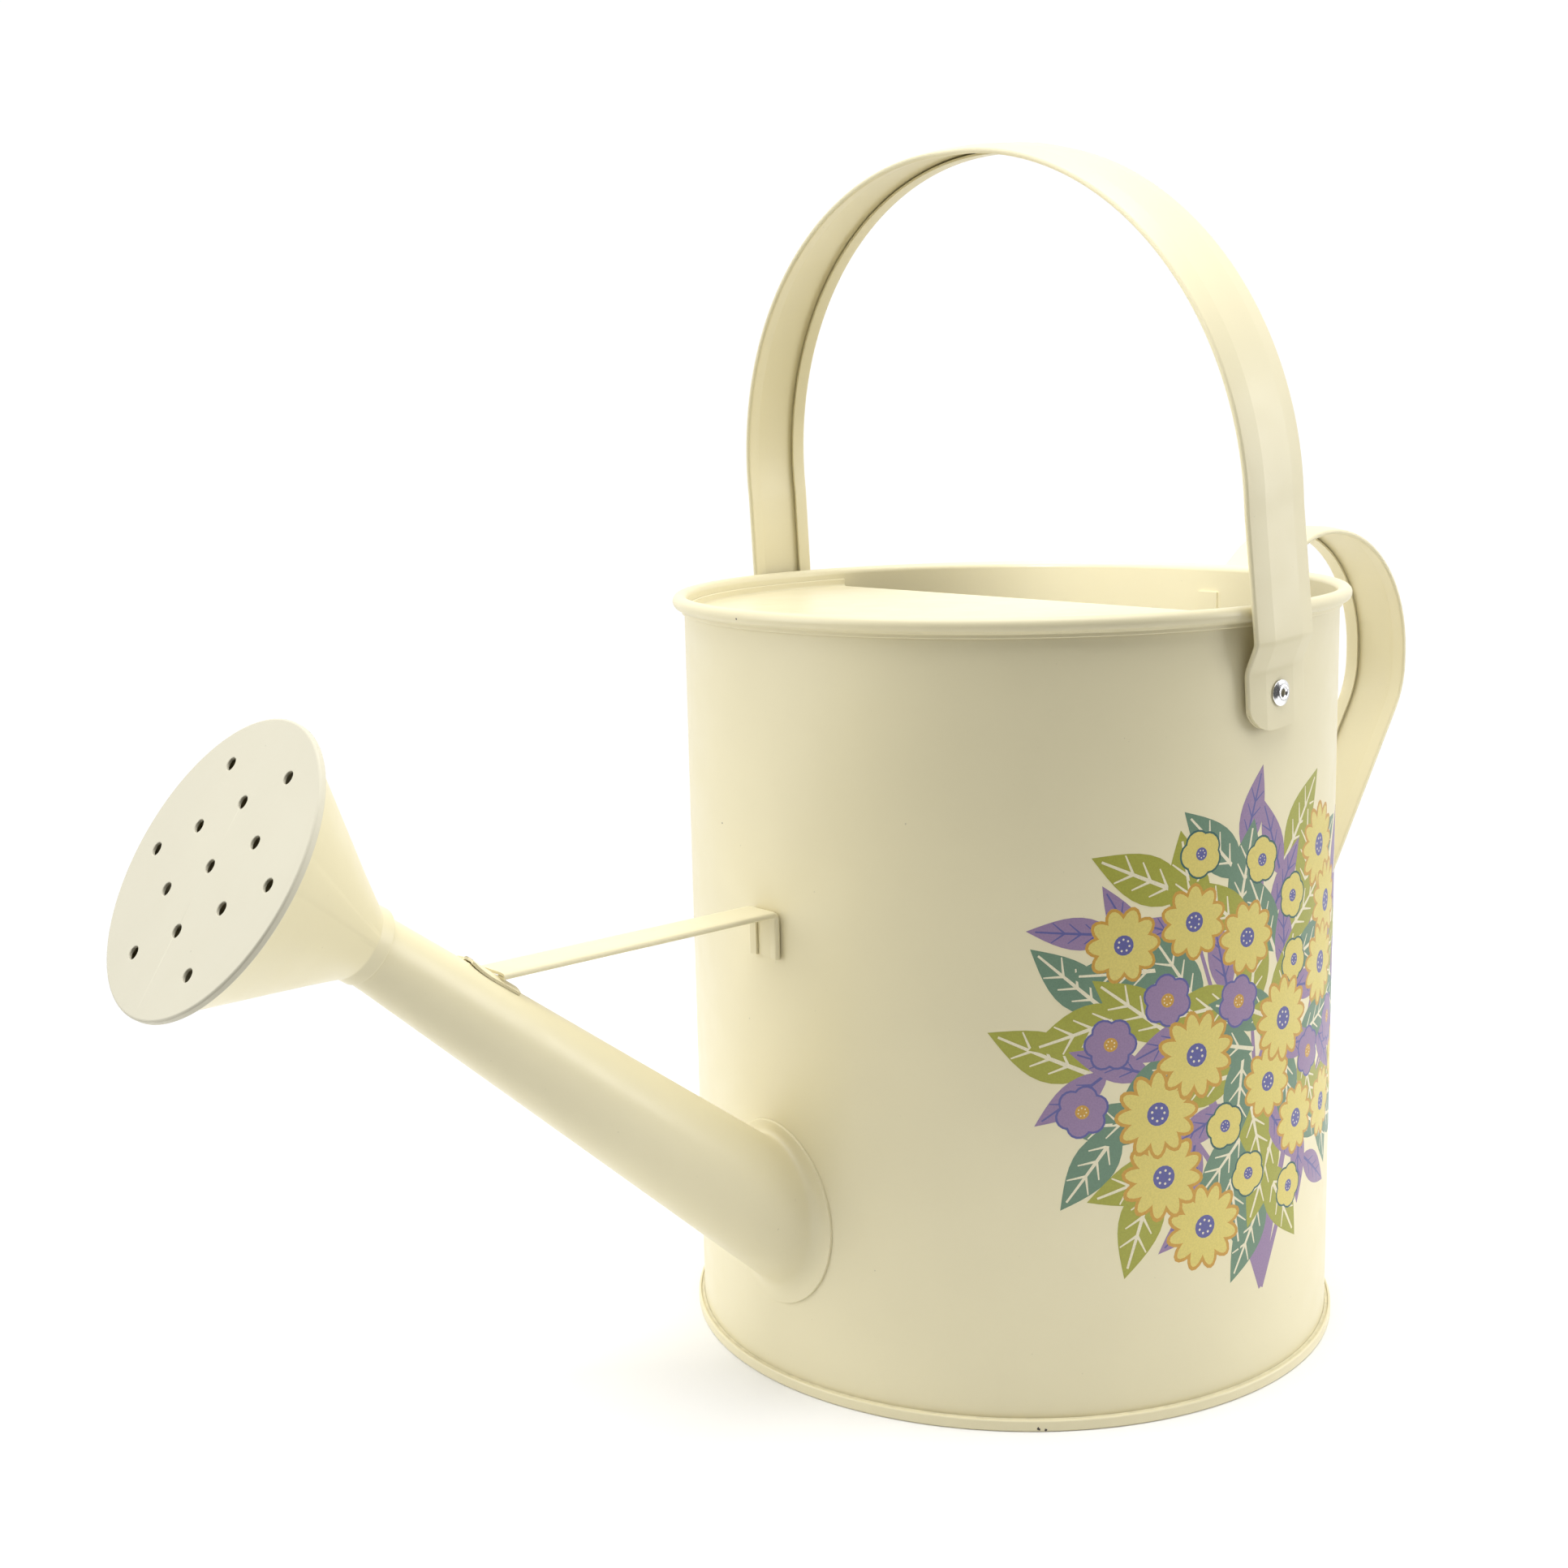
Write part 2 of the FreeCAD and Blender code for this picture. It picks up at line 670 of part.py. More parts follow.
def bail_placement():
    """The bail's pivot, tipped a little towards the spout."""
    return FreeCAD.Placement(
        FreeCAD.Vector(0, 0, value("pivot_height")),
        FreeCAD.Rotation(FreeCAD.Vector(0, 1, 0), -value("bail_lean")))


def bail_handle():
    """Half of the bail swept from its riveted tab to the top of the arch, then mirrored."""
    body = new_body("bail_handle")
    route = new_sketch(body, "Route", "YZ")
    rounded(route, [
        ("bail_tab_reach", "0 - bail_tab_drop", None),
        ("bail_tab_reach", "bail_step_start", "6 * sheet"),
        ("bail_leg_reach", "bail_step_end", "6 * sheet"),
        ("bail_radius", "bail_centre_rise", "bail_flare_radius"),
        ("bail_radius", "bail_centre_rise + bail_radius", "bail_radius - bail_crown_flat"),
        ("0", "bail_centre_rise + bail_radius", None),
    ], closed=False)
    section = new_sketch(body, "Section", "XY", "0 - bail_tab_drop")
    strip_section(section, "bail_tab_reach")
    sweep(body, section, route)

    dimple = new_sketch(body, "PivotSeat", "XZ", "0 - bail_tab_reach + sheet / 2")
    circle(dimple, "0", "0", "3 * rivet_radius")
    pad(body, dimple, "strip_depth - sheet / 2", "PivotDimple")

    hole = new_sketch(body, "PivotHole", "XZ")
    circle(hole, "0", "0", "rivet_radius + rivet_play")
    pierce(body, hole, "PivotDrilling")

    corners = new_sketch(body, "TabCorners", "XZ")
    for side in ("0 - ", ""):
        tab_corner(corners, side)
    pierce(body, corners, "TabRounding")

    mirror = body.newObject("PartDesign::Mirrored", "OtherHalf")
    mirror.Originals = [item for item in body.Group if item.TypeId in (
        "PartDesign::AdditivePipe", "PartDesign::Pad", "PartDesign::Pocket")]
    mirror.MirrorPlane = (route, ["V_Axis"])
    body.Tip = mirror
    doc.recompute()
    body.Placement = bail_placement()
    return body


def tab_corner(sketch, side):
    """The sliver outside one rounded bottom corner of the bail's tab."""
    edge = "(strip_width / 2)"
    rise = "(bail_tab_corner - bail_tab_drop)"
    outer = f"{side}({edge} + 1)"
    floor = "0 - bail_tab_drop - 1"
    points = [
        (outer, floor, None),
        (f"{side}({edge} - bail_tab_corner)", floor, None),
        (f"{side}({edge} - bail_tab_corner)", "0 - bail_tab_drop", None),
        (f"{side}{edge}", "0 - bail_tab_drop", "bail_tab_corner - 0.05"),
        (f"{side}{edge}", rise, None),
        (outer, rise, None),
    ]
    rounded(sketch, points)


# ---------------------------------------------------------------- rivets

def rivet_frame(side):
    """Under a rivet's head on one side of the can, with Z pointing away from the can."""
    seat = value("bail_tab_reach + 2 * rivet_play")
    turn = FreeCAD.Rotation(FreeCAD.Vector(1, 0, 0), 90 if side < 0 else -90)
    return FreeCAD.Placement(FreeCAD.Vector(0, side * seat, value("pivot_height")), turn)


def blind_rivet(label, side):
    """Domed flange, shank that the bail turns on, and the bulb set inside the wall."""
    body = new_body(label)
    section = new_sketch(body, "Section", "XZ")
    grip = "(bail_tab_reach + 2 * rivet_play - drum_radius + sheet)"
    bore = "(mandrel_radius + joint_gap)"
    rounded(section, [
        (bore, f"0 - {grip} - rivet_bulb_length", None),
        ("rivet_bulb_radius", f"0 - {grip} - rivet_bulb_length", "rivet_bulb_round"),
        ("rivet_bulb_radius", f"0 - {grip}", "rivet_bulb_round"),
        ("rivet_radius", f"0 - {grip}", None),
        ("rivet_radius", "0", None),
        ("rivet_head_radius", "0", None),
        ("rivet_head_radius", "rivet_head_height / 3", "rivet_edge_round"),
        ("0.62 * rivet_head_radius", "rivet_head_height", "rivet_dome_round"),
        (bore, "rivet_head_height", None),
    ])
    revolve(body, section, "Shell")
    body.Placement = rivet_frame(side)
    return body


def rivet_mandrel(label, side):
    """The snapped stem that stays in a rivet, with its head drawn up against the bulb."""
    body = new_body(label)
    section = new_sketch(body, "Section", "XZ")
    bulb_end = "0 - bail_tab_reach - 2 * rivet_play + drum_radius - sheet - rivet_bulb_length"
    head_seat = f"{bulb_end} - joint_gap"
    rounded(section, [
        ("0", f"{head_seat} - mandrel_head_length", None),
        ("1.5 * mandrel_radius", f"{head_seat} - mandrel_head_length", "mandrel_radius / 2"),
        ("1.5 * mandrel_radius", head_seat, None),
        ("mandrel_radius", head_seat, None),
        ("mandrel_radius", "0 - mandrel_radius", None),
        ("0", "0 - 0.7 * mandrel_radius", None),
    ])
    revolve(body, section, "Stem")
    body.Placement = rivet_frame(side)
    return body


# ---------------------------------------------------------------- build, test and write

subparts = [
    body_shell(), rim_wire(), base_disc(), base_seam_seal(), splash_guard(),
    spout_tube(), rose_cone(), rose_face(), spout_brace(), rear_handle(), bail_handle(),
]
for side_name, side in (("left", 1), ("right", -1)):
    subparts.append(blind_rivet(f"bail_rivet_{side_name}", side))
    subparts.append(rivet_mandrel(f"rivet_mandrel_{side_name}", side))
doc.recompute()

for item in doc.Objects:
    if "Invalid" in item.State or "Error" in item.State:
        raise RuntimeError(f"{item.Label} failed: {item.State}")
for part in subparts:
    shape = part.Shape
    if shape.isNull() or not shape.isValid() or shape.Volume <= 0:
        raise RuntimeError(f"{part.Label} has no valid solid")

os.makedirs("parts", exist_ok=True)
for part in subparts:
    part.Shape.exportStep(f"parts/{part.Label}.step")
    print(part.Label, len(part.Shape.Solids), round(part.Shape.Volume, 1))
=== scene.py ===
import json
import math

import bmesh
import bpy
from mathutils import Matrix, Vector
from mathutils.geometry import delaunay_2d_cdt


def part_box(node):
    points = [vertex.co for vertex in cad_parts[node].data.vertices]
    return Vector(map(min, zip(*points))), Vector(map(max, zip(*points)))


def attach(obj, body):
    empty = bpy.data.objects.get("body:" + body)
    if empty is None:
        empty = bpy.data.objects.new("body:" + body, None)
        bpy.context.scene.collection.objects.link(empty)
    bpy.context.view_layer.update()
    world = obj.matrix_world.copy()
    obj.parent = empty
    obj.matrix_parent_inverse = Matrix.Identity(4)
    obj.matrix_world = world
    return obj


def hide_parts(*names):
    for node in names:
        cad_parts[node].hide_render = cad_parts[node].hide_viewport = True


# A cream powder-coated watering can with a printed spray of flowers, built round its CAD frame.
# Lengths here are millimetres in the frame's axes, and become metres when a mesh is made.

MM = 0.001

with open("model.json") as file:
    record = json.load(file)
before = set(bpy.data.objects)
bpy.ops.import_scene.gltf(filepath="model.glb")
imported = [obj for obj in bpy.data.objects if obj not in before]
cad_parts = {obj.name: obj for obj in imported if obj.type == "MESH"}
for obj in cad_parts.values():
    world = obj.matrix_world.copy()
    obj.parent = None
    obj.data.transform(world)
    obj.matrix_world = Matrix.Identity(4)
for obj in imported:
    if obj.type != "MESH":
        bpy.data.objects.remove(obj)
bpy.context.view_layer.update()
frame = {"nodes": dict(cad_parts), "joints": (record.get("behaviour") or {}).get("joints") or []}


def node_box(node):
    """A CAD node's lowest and highest corner in millimetres."""
    low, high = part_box(node)
    return low / MM, high / MM


# ---------------------------------------------------------------- driving dimensions

SHEET = 0.7
GAP = 0.05
BEAD = 3.8
LIP_DROP = 1.3

RIM_RADIUS = node_box("body_shell")[1].y
RIM_TOP = node_box("body_shell")[1].z
DRUM_RADIUS = RIM_RADIUS - BEAD + SHEET
FOOT_RADIUS = node_box("base_disc")[1].y
FOOT_HEIGHT = 3.0
BASE_RECESS = 5.0
LAP_WIDTH = 7.0
LAP_BASE = 7.0
LAP_TOP = 193.0
ROLL_PLAY = 0.02
PRESSED_RINGS = (32, 64)
PRESSED_RISE = 0.9

GUARD_EDGE = node_box("splash_guard")[1].x
GUARD_TOP = node_box("splash_guard")[1].z
GUARD_FLANGE = 2.2
GUARD_HEM = 3.0

SPOUT_ROOT_HEIGHT = 46.5
SPOUT_TILT = math.radians(38.7)
SPOUT_ROOT_RADIUS = 15.5
SPOUT_TIP_RADIUS = 7.8
SPOUT_LENGTH = 152.0
SPOUT_FLANGE = 2.4
SPOUT_FILLET = 3.2
SPOUT_OPENING = SPOUT_ROOT_RADIUS - 1.4
FILLET_SHARES = (0.0, 0.12, 0.25, 0.38, 0.5, 0.62, 0.75, 0.88, 1.0)

ROSE_TILT = math.radians(33.8)
ROSE_NECK_ALONG = 148.0
ROSE_NECK_RADIUS = 9.1
ROSE_SLEEVE = 3.5
ROSE_LENGTH = 38.2
ROSE_RADIUS = 34.0
ROSE_RIM = 0.9
ROSE_SEAM_ANGLE = math.radians(-82)
ROSE_SEAM_STEP = 0.32
ROSE_SEAM_HALF = 1.3
ROSE_SEAM_BLEND = 0.4
SPRAY_HOLE = 3.0
SPRAY_PITCH = 14.6

BRACE_LEVEL = 126.4
BRACE_WIDTH = 11.0
BRACE_BEND = 169.0
BRACE_DEPTH = 1.75
BRACE_TAB = 12.4
TONGUE_START = 106.5
TONGUE_LENGTH = 14.0

STRIP_WIDTH = 22.0
STRIP_DEPTH = 2.4

GRIP_REACH = node_box("rear_handle")[1].x
GRIP_TOP = node_box("rear_handle")[1].z
GRIP_LOW_TAB = (11.0, 27.6)
GRIP_HIGH_TAB = (164.9, 183.9)
GRIP_OUTER_BEND = 156.5
GRIP_INNER_BEND = 121.0

PIVOT_HEIGHT = frame["joints"][0]["pos_m"][2] / MM
BAIL_LEAN = math.radians(5.0)
BAIL_RADIUS = 92.0
BAIL_CENTRE_RISE = 44.2
BAIL_TAB_REACH = 90.15
BAIL_TAB_DROP = 8.6
BAIL_TAB_CORNER = 8.0
BAIL_JOGGLE_START = 6.0
BAIL_JOGGLE_END = 13.0
BAIL_JOGGLE_REACH = 93.4
BAIL_JOGGLE_BEND = 4.2
BAIL_FLARE_RADIUS = 40.0
BAIL_CROWN_FLAT = 3.0

RIVET_RADIUS = 3.25
RIVET_HEIGHT = 1.15
RIVET_EDGE = 0.35
RIVET_SHANK = 1.6
RIVET_PLAY = 0.05
RIVET_BULB_RADIUS = 2.45
RIVET_BULB_LENGTH = 3.4
RIVET_DISH = 0.75
MANDREL_RADIUS = 0.9

RING_STEPS = 288
CORNER_STEP = math.radians(9)


# ---------------------------------------------------------------- outlines and routes

def rounded_outline(corners, closed=True, longest=50.0):
    """Points of a 2-D line through corners (x, y, radius), each with its arc drawn in."""
    points = [Vector((x, y)) for x, y, _ in corners]
    count = len(points)
    out = []
    for index, (_, _, radius) in enumerate(corners):
        here = points[index]
        is_end = not closed and index in (0, count - 1)
        if not radius or is_end:
            out.append(here)
            continue
        back = (points[index - 1] - here).normalized()
        ahead = (points[(index + 1) % count] - here).normalized()
        half = back.angle(ahead) / 2
        centre = here + (back + ahead).normalized() * (radius / math.sin(half))
        start = here + back * (radius / math.tan(half)) - centre
        turn = start.angle_signed(here + ahead * (radius / math.tan(half)) - centre)
        steps = max(2, math.ceil(abs(turn) / CORNER_STEP), math.ceil(abs(turn) * radius / longest))
        for step in range(steps + 1):
            arm = start.copy()
            arm.rotate(Matrix.Rotation(-turn * step / steps, 2))
            out.append(centre + arm)
    return out


def route_stations(corners, spacing):
    """Stations (point, tangent) along a rounded route, no further apart than spacing."""
    points = rounded_outline(corners, closed=False, longest=spacing)
    dense = [points[0]]
    for before, after in zip(points, points[1:]):
        steps = max(1, math.ceil((after - before).length / spacing))
        dense += [before.lerp(after, step / steps) for step in range(1, steps + 1)]
    stations = []
    for index, point in enumerate(dense):
        previous = dense[max(index - 1, 0)]
        following = dense[min(index + 1, len(dense) - 1)]
        stations.append((point, (following - previous).normalized()))
    return stations


def folded_strip(half, flat, shoulder, depth, hem, left_open, right_open):
    """Section of a strip whose two edges are folded back under it.

    Across is x, and the outer face is at y = 0 with the hems below. An open of 1 leaves the
    hem's free edge standing off, and 0 lays it against the strip.
    """
    fold = (depth - shoulder) / 2 * 0.95
    tuck = half - hem
    slope = shoulder / (half - flat)
    shut_gap, open_gap = 0.03, 0.12
    flat_radius, edge_radius, inner_radius = 0.8, 0.15, 0.08

    def side(sign, opening):
        under = -SHEET - slope * max(tuck - flat, 0)
        lift = under - shut_gap - opening * (depth - SHEET + under - open_gap)
        points = [
            (flat, 0.0, flat_radius),
            (half, -shoulder, fold),
            (half, -depth, fold),
            (tuck, lift - SHEET, edge_radius),
            (tuck, lift, edge_radius),
            (half - SHEET, -depth + SHEET, inner_radius),
            (half - SHEET, -shoulder - SHEET * 0.9, inner_radius),
            (flat, -SHEET, 0),
        ]
        return [(sign * x, y, radius) for x, y, radius in points]

    return rounded_outline(side(1, right_open) + side(-1, left_open)[::-1])


# ---------------------------------------------------------------- meshes

def mesh_object(name, rings, closed_rings=False):
    """A mesh from rings of points that each join the next, capped at both ends or closed."""
    bm = bmesh.new()
    made = [[bm.verts.new(Vector(point) * MM) for point in ring] for ring in rings]
    pairs = list(zip(made, made[1:]))
    if closed_rings:
        pairs.append((made[-1], made[0]))
    for first, second in pairs:
        for index in range(len(first)):
            following = (index + 1) % len(first)
            corners = (first[index], first[following], second[following], second[index])
            bm.faces.new(corners)
    if not closed_rings:
        bm.faces.new(made[0][::-1])
        bm.faces.new(made[-1])
    return welded_object(name, bm)


def welded_object(name, bm):
    """Weld and orient a bmesh, and store it as a new object."""
    bmesh.ops.remove_doubles(bm, verts=bm.verts, dist=0.002 * MM)
    bmesh.ops.dissolve_degenerate(bm, edges=bm.edges, dist=0.001 * MM)
    bmesh.ops.recalc_face_normals(bm, faces=bm.faces)
    return object_from_bmesh(name, bm)


def object_from_bmesh(name, bm):
    """Store a bmesh as a new object in the scene."""
    mesh = bpy.data.meshes.new(name)
    bm.to_mesh(mesh)
    bm.free()
    item = bpy.data.objects.new(name, mesh)
    bpy.context.scene.collection.objects.link(item)
    return item


def round_axis(angle, radius, height):
    """A point beside the Z axis."""
    return Vector((radius * math.cos(angle), radius * math.sin(angle), height))


def lathe(name, outline, frame_matrix=Matrix.Identity(4), steps=RING_STEPS, shape=None, angles=None):
    """Turn a closed outline of (radius, height) about the axis of a frame."""
    angles = angles or [math.tau * step / steps for step in range(steps)]
    rings = []
    for angle in angles:
        ring = []
        for radius, height in outline:
            if shape:
                radius, height = shape(angle, radius, height)
            ring.append(frame_matrix @ round_axis(angle, radius, height))
        rings.append(ring)
    return mesh_object(name, rings, closed_rings=True)


def sweep_strip(name, stations, section, place, outward):
    """Sweep a section along a flat route; outward is the side of the route its face is on."""
    rings = []
    for point, tangent in stations:
        normal = Vector((tangent.y, -tangent.x)) * outward
        rings.append([place(across, point + normal * out) for across, out in section])
    return mesh_object(name, rings)


def prism(name, outline, axis_from, axis_to, place):
    """A straight block with an outline (a, b), from one place along its axis to another."""
    rings = [[place(a, b, along) for a, b in outline] for along in (axis_from, axis_to)]
    return mesh_object(name, rings)


def apply_boolean(item, tool, operation="DIFFERENCE"):
    """Cut, join or intersect with a tool mesh, which is then removed."""
    modifier = item.modifiers.new("shape", "BOOLEAN")
    modifier.operation = operation
    modifier.solver = "EXACT"
    modifier.object = tool
    graph = bpy.context.evaluated_depsgraph_get()
    mesh = bpy.data.meshes.new_from_object(item.evaluated_get(graph))
    item.modifiers.clear()
    item.data = mesh
    bpy.data.objects.remove(tool)


def join(name, *items):
    """One object from several."""
    bm = bmesh.new()
    for item in items:
        bm.from_mesh(item.data)
        bpy.data.objects.remove(item)
    return object_from_bmesh(name, bm)


def finish_sheet(item, body, node, material, crease=math.radians(38), edge=0.0, even=True):
    """Shade a piece, soften its sharp edges, give it its body and material, and hide the CAD node it stands
    for.

    Even shading keeps broad faces flat beside small bends. Swept strips are better without it.
    """
    mesh = item.data
    if edge:
        bevel = item.modifiers.new("soft_edge", "BEVEL")
        bevel.width = edge * MM
        bevel.segments = 2
        bevel.limit_method = "ANGLE"
        bevel.angle_limit = crease
    mesh.shade_smooth()
    bm = bmesh.new()
    bm.from_mesh(mesh)
    for line in bm.edges:
        line.smooth = len(line.link_faces) == 2 and line.calc_face_angle(0) < crease
    bm.to_mesh(mesh)
    bm.free()
    if even:
        shading = item.modifiers.new("even_shading", "WEIGHTED_NORMAL")
        shading.keep_sharp = True
        shading.weight = 80
    mesh.materials.clear()
    mesh.materials.append(material)
    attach(item, body)
    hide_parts(node)


# ---------------------------------------------------------------- materials

CREAM = (0.745, 0.68, 0.455)
# The rose face is the can's own cream, darkened here as painted shade against the strong light on its
# upturned face.
ROSE_FACE_SHADED_CREAM = (0.62, 0.588, 0.46)
BARE_STEEL = (0.045, 0.033, 0.028)
COAT_ROUGHNESS = 0.36
ROSE_ROUGHNESS = 0.52
RIM_CHIP = math.radians(176.7)
FOOT_CHIP = math.radians(-132)
WALL_SPECK = math.radians(167)

# Noise scales, in waves to the metre.
DRIFT_WAVES = 14
SWELL_WAVES = 22
SHEEN_WAVES = 120
INK_SHEEN_WAVES = 160
PEEL_WAVES = 620
METAL_WAVES = 700
SPECK_WAVES = 900
CHIP_WAVES = 1500
SCRATCH_WAVES = 1800
DITHER_WAVES = 2400


def new_material(name):
    """A new material, with its nodes, its links and its shader."""
    material = bpy.data.materials.new(name)
    material.use_nodes = True
    nodes = material.node_tree.nodes
    return material, nodes, material.node_tree.links, nodes["Principled BSDF"]


def object_noise(nodes, links, scale, detail=2.0, rough=0.5):
    """Noise in the object's own space, with scale in waves to the metre."""
    place = nodes.new("ShaderNodeTexCoord")
    noise = nodes.new("ShaderNodeTexNoise")
    noise.inputs["Scale"].default_value = scale
    noise.inputs["Detail"].default_value = detail
    noise.inputs["Roughness"].default_value = rough
    links.new(place.outputs["Object"], noise.inputs["Vector"])
    return noise.outputs["Fac"]


def ramp(nodes, links, source, stops):
    """A colour or value ramp through stops (place, colour)."""
    item = nodes.new("ShaderNodeValToRGB")
    item.color_ramp.elements[0].position = stops[0][0]
    item.color_ramp.elements[0].color = stops[0][1]
    item.color_ramp.elements[1].position = stops[-1][0]
    item.color_ramp.elements[1].color = stops[-1][1]
    for position, colour in stops[1:-1]:
        item.color_ramp.elements.new(position).color = colour
    links.new(source, item.inputs["Fac"])
    return item.outputs["Color"]


def grey(level):
    """A grey, or a plain value, as a ramp's colour."""
    return (level, level, level, 1.0)


def tint(colour, factor=1.0):
    """A colour made darker or lighter by a factor, with its alpha."""
    return (*[channel * factor for channel in colour], 1.0)


def mottle(nodes, links, source, low, high, socket):
    """Let a noise vary a socket between two colours or plain values."""
    links.new(ramp(nodes, links, source, [(0.3, low), (0.7, high)]), socket)


def mix_colour(nodes, links, factor, first, second):
    """Mix two colours, given as sockets or values, by a factor socket."""
    mix = nodes.new("ShaderNodeMix")
    mix.data_type = "RGBA"
    links.new(factor, mix.inputs["Factor"])
    for value, socket in ((first, mix.inputs["A"]), (second, mix.inputs["B"])):
        if isinstance(value, bpy.types.NodeSocket):
            links.new(value, socket)
        else:
            socket.default_value = value
    return mix.outputs["Result"]


def bump(nodes, links, height, strength, distance, before=None):
    """Roughen a surface by a height, over a distance in millimetres, on top of a bump before."""
    item = nodes.new("ShaderNodeBump")
    item.inputs["Strength"].default_value = strength
    item.inputs["Distance"].default_value = distance * MM
    links.new(height, item.inputs["Height"])
    if before:
        links.new(before, item.inputs["Normal"])
    return item.outputs["Normal"]


def powder_coat(name, colour, roughness, bare_spots=()):
    """Satin powder coat: slight colour drift, orange peel, dust nibs and a few chips."""
    material, nodes, links, shader = new_material(name)
    drift = object_noise(nodes, links, DRIFT_WAVES, 3)
    base = ramp(nodes, links, drift, [(0.3, tint(colour, 0.965)), (0.7, tint(colour, 1.03))])

    grime = object_noise(nodes, links, SPECK_WAVES, 2, 0.6)
    specks = ramp(nodes, links, grime, [(0.2, grey(1)), (0.235, grey(0))])
    base = mix_colour(nodes, links, specks, base, tint(colour, 0.72))

    for centre, radius in bare_spots:
        base = chip(nodes, links, base, centre, radius)
    links.new(base, shader.inputs["Base Color"])

    matt = object_noise(nodes, links, SHEEN_WAVES, 3)
    mottle(nodes, links, matt, grey(roughness - 0.05), grey(roughness + 0.06), shader.inputs["Roughness"])
    shader.inputs["Specular IOR Level"].default_value = 0.45

    swell = bump(nodes, links, object_noise(nodes, links, SWELL_WAVES, 1), 0.10, 1.2)
    peel = bump(nodes, links, object_noise(nodes, links, PEEL_WAVES, 2), 0.16, 0.10, swell)
    nibs = bump(nodes, links, specks, 0.25, 0.08, peel)
    links.new(nibs, shader.inputs["Normal"])
    return material


def chip(nodes, links, base, centre, radius):
    """Show dark bare steel in a ragged spot about a centre, in millimetres."""
    place = nodes.new("ShaderNodeTexCoord")
    away = nodes.new("ShaderNodeVectorMath")
    away.operation = "DISTANCE"
    links.new(place.outputs["Object"], away.inputs[0])
    away.inputs[1].default_value = Vector(centre) * MM
    ragged = nodes.new("ShaderNodeMath")
    ragged.operation = "MULTIPLY_ADD"
    links.new(object_noise(nodes, links, CHIP_WAVES, 3, 0.7), ragged.inputs[0])
    ragged.inputs[1].default_value = radius * 2.4 * MM
    links.new(away.outputs["Value"], ragged.inputs[2])
    edge = radius * 2.2 * MM
    scaled = nodes.new("ShaderNodeMapRange")
    scaled.inputs["From Min"].default_value = edge * 0.92
    scaled.inputs["From Max"].default_value = edge
    scaled.inputs["To Min"].default_value = 1
    scaled.inputs["To Max"].default_value = 0
    links.new(ragged.outputs["Value"], scaled.inputs["Value"])
    return mix_colour(nodes, links, scaled.outputs["Result"], base, tint(BARE_STEEL))


def bare_metal(name, colour, roughness, grain):
    """Drawn or turned metal with fine scratches."""
    material, nodes, links, shader = new_material(name)
    shader.inputs["Metallic"].default_value = 1.0
    tone = object_noise(nodes, links, METAL_WAVES, 3)
    mottle(nodes, links, tone, tint(colour, 0.85), tint(colour), shader.inputs["Base Color"])
    matt = object_noise(nodes, links, SCRATCH_WAVES, 3)
    mottle(nodes, links, matt, grey(roughness), grey(roughness + 0.12), shader.inputs["Roughness"])
    links.new(bump(nodes, links, object_noise(nodes, links, grain, 2), 0.15, 0.03),
              shader.inputs["Normal"])
    return material


def print_ink(name, colour):
    """Transfer ink on the coat: flat colour with a faint dither and the coat's own grain."""
    material, nodes, links, shader = new_material(name)
    grain = object_noise(nodes, links, DITHER_WAVES, 2)
    links.new(ramp(nodes, links, grain, [(0.35, tint(colour, 0.9)), (0.65, tint(colour))]),
              shader.inputs["Base Color"])
    matt = object_noise(nodes, links, INK_SHEEN_WAVES, 2)
    mottle(nodes, links, matt, grey(0.36), grey(0.46), shader.inputs["Roughness"])
    links.new(bump(nodes, links, object_noise(nodes, links, PEEL_WAVES, 2), 0.12, 0.08),
              shader.inputs["Normal"])
    return material


def seam_paste(name):
    """Sealing compound in the foot's seam, coated over with the rest of the can."""
    material, nodes, links, shader = new_material(name)
    tone = object_noise(nodes, links, 300, 3)
    mottle(nodes, links, tone, tint(CREAM, 0.82), tint(CREAM), shader.inputs["Base Color"])
    shader.inputs["Roughness"].default_value = 0.6
    links.new(bump(nodes, links, tone, 0.4, 0.2), shader.inputs["Normal"])
    return material


drum_coat = powder_coat("drum_coat", CREAM, COAT_ROUGHNESS, [
    (round_axis(RIM_CHIP, RIM_RADIUS, RIM_TOP - 0.7), 0.28),
    (round_axis(RIM_CHIP - 0.003, RIM_RADIUS, RIM_TOP - 2.2), 0.30),
    (round_axis(WALL_SPECK, DRUM_RADIUS, 145), 0.22),
])
foot_coat = powder_coat("foot_coat", CREAM, COAT_ROUGHNESS, [
    (round_axis(FOOT_CHIP, FOOT_RADIUS, 0.9), 0.45),
    (round_axis(FOOT_CHIP + 0.02, FOOT_RADIUS, 0.6), 0.35),
])
cream_coat = powder_coat("cream_coat", CREAM, COAT_ROUGHNESS)
# The rose face's coat: the cream coat with its colour darkened as painted shade.
rose_face_shaded_coat = powder_coat("rose_face_shaded_coat", ROSE_FACE_SHADED_CREAM, ROSE_ROUGHNESS)
bright_rivet = bare_metal("bright_rivet", (0.86, 0.86, 0.87), 0.16, 900)
snapped_steel = bare_metal("snapped_steel", (0.12, 0.11, 0.11), 0.45, 2500)
drawn_wire = bare_metal("drawn_wire", (0.5, 0.5, 0.5), 0.3, 900)
paste = seam_paste("seam_paste")


# ---------------------------------------------------------------- drum

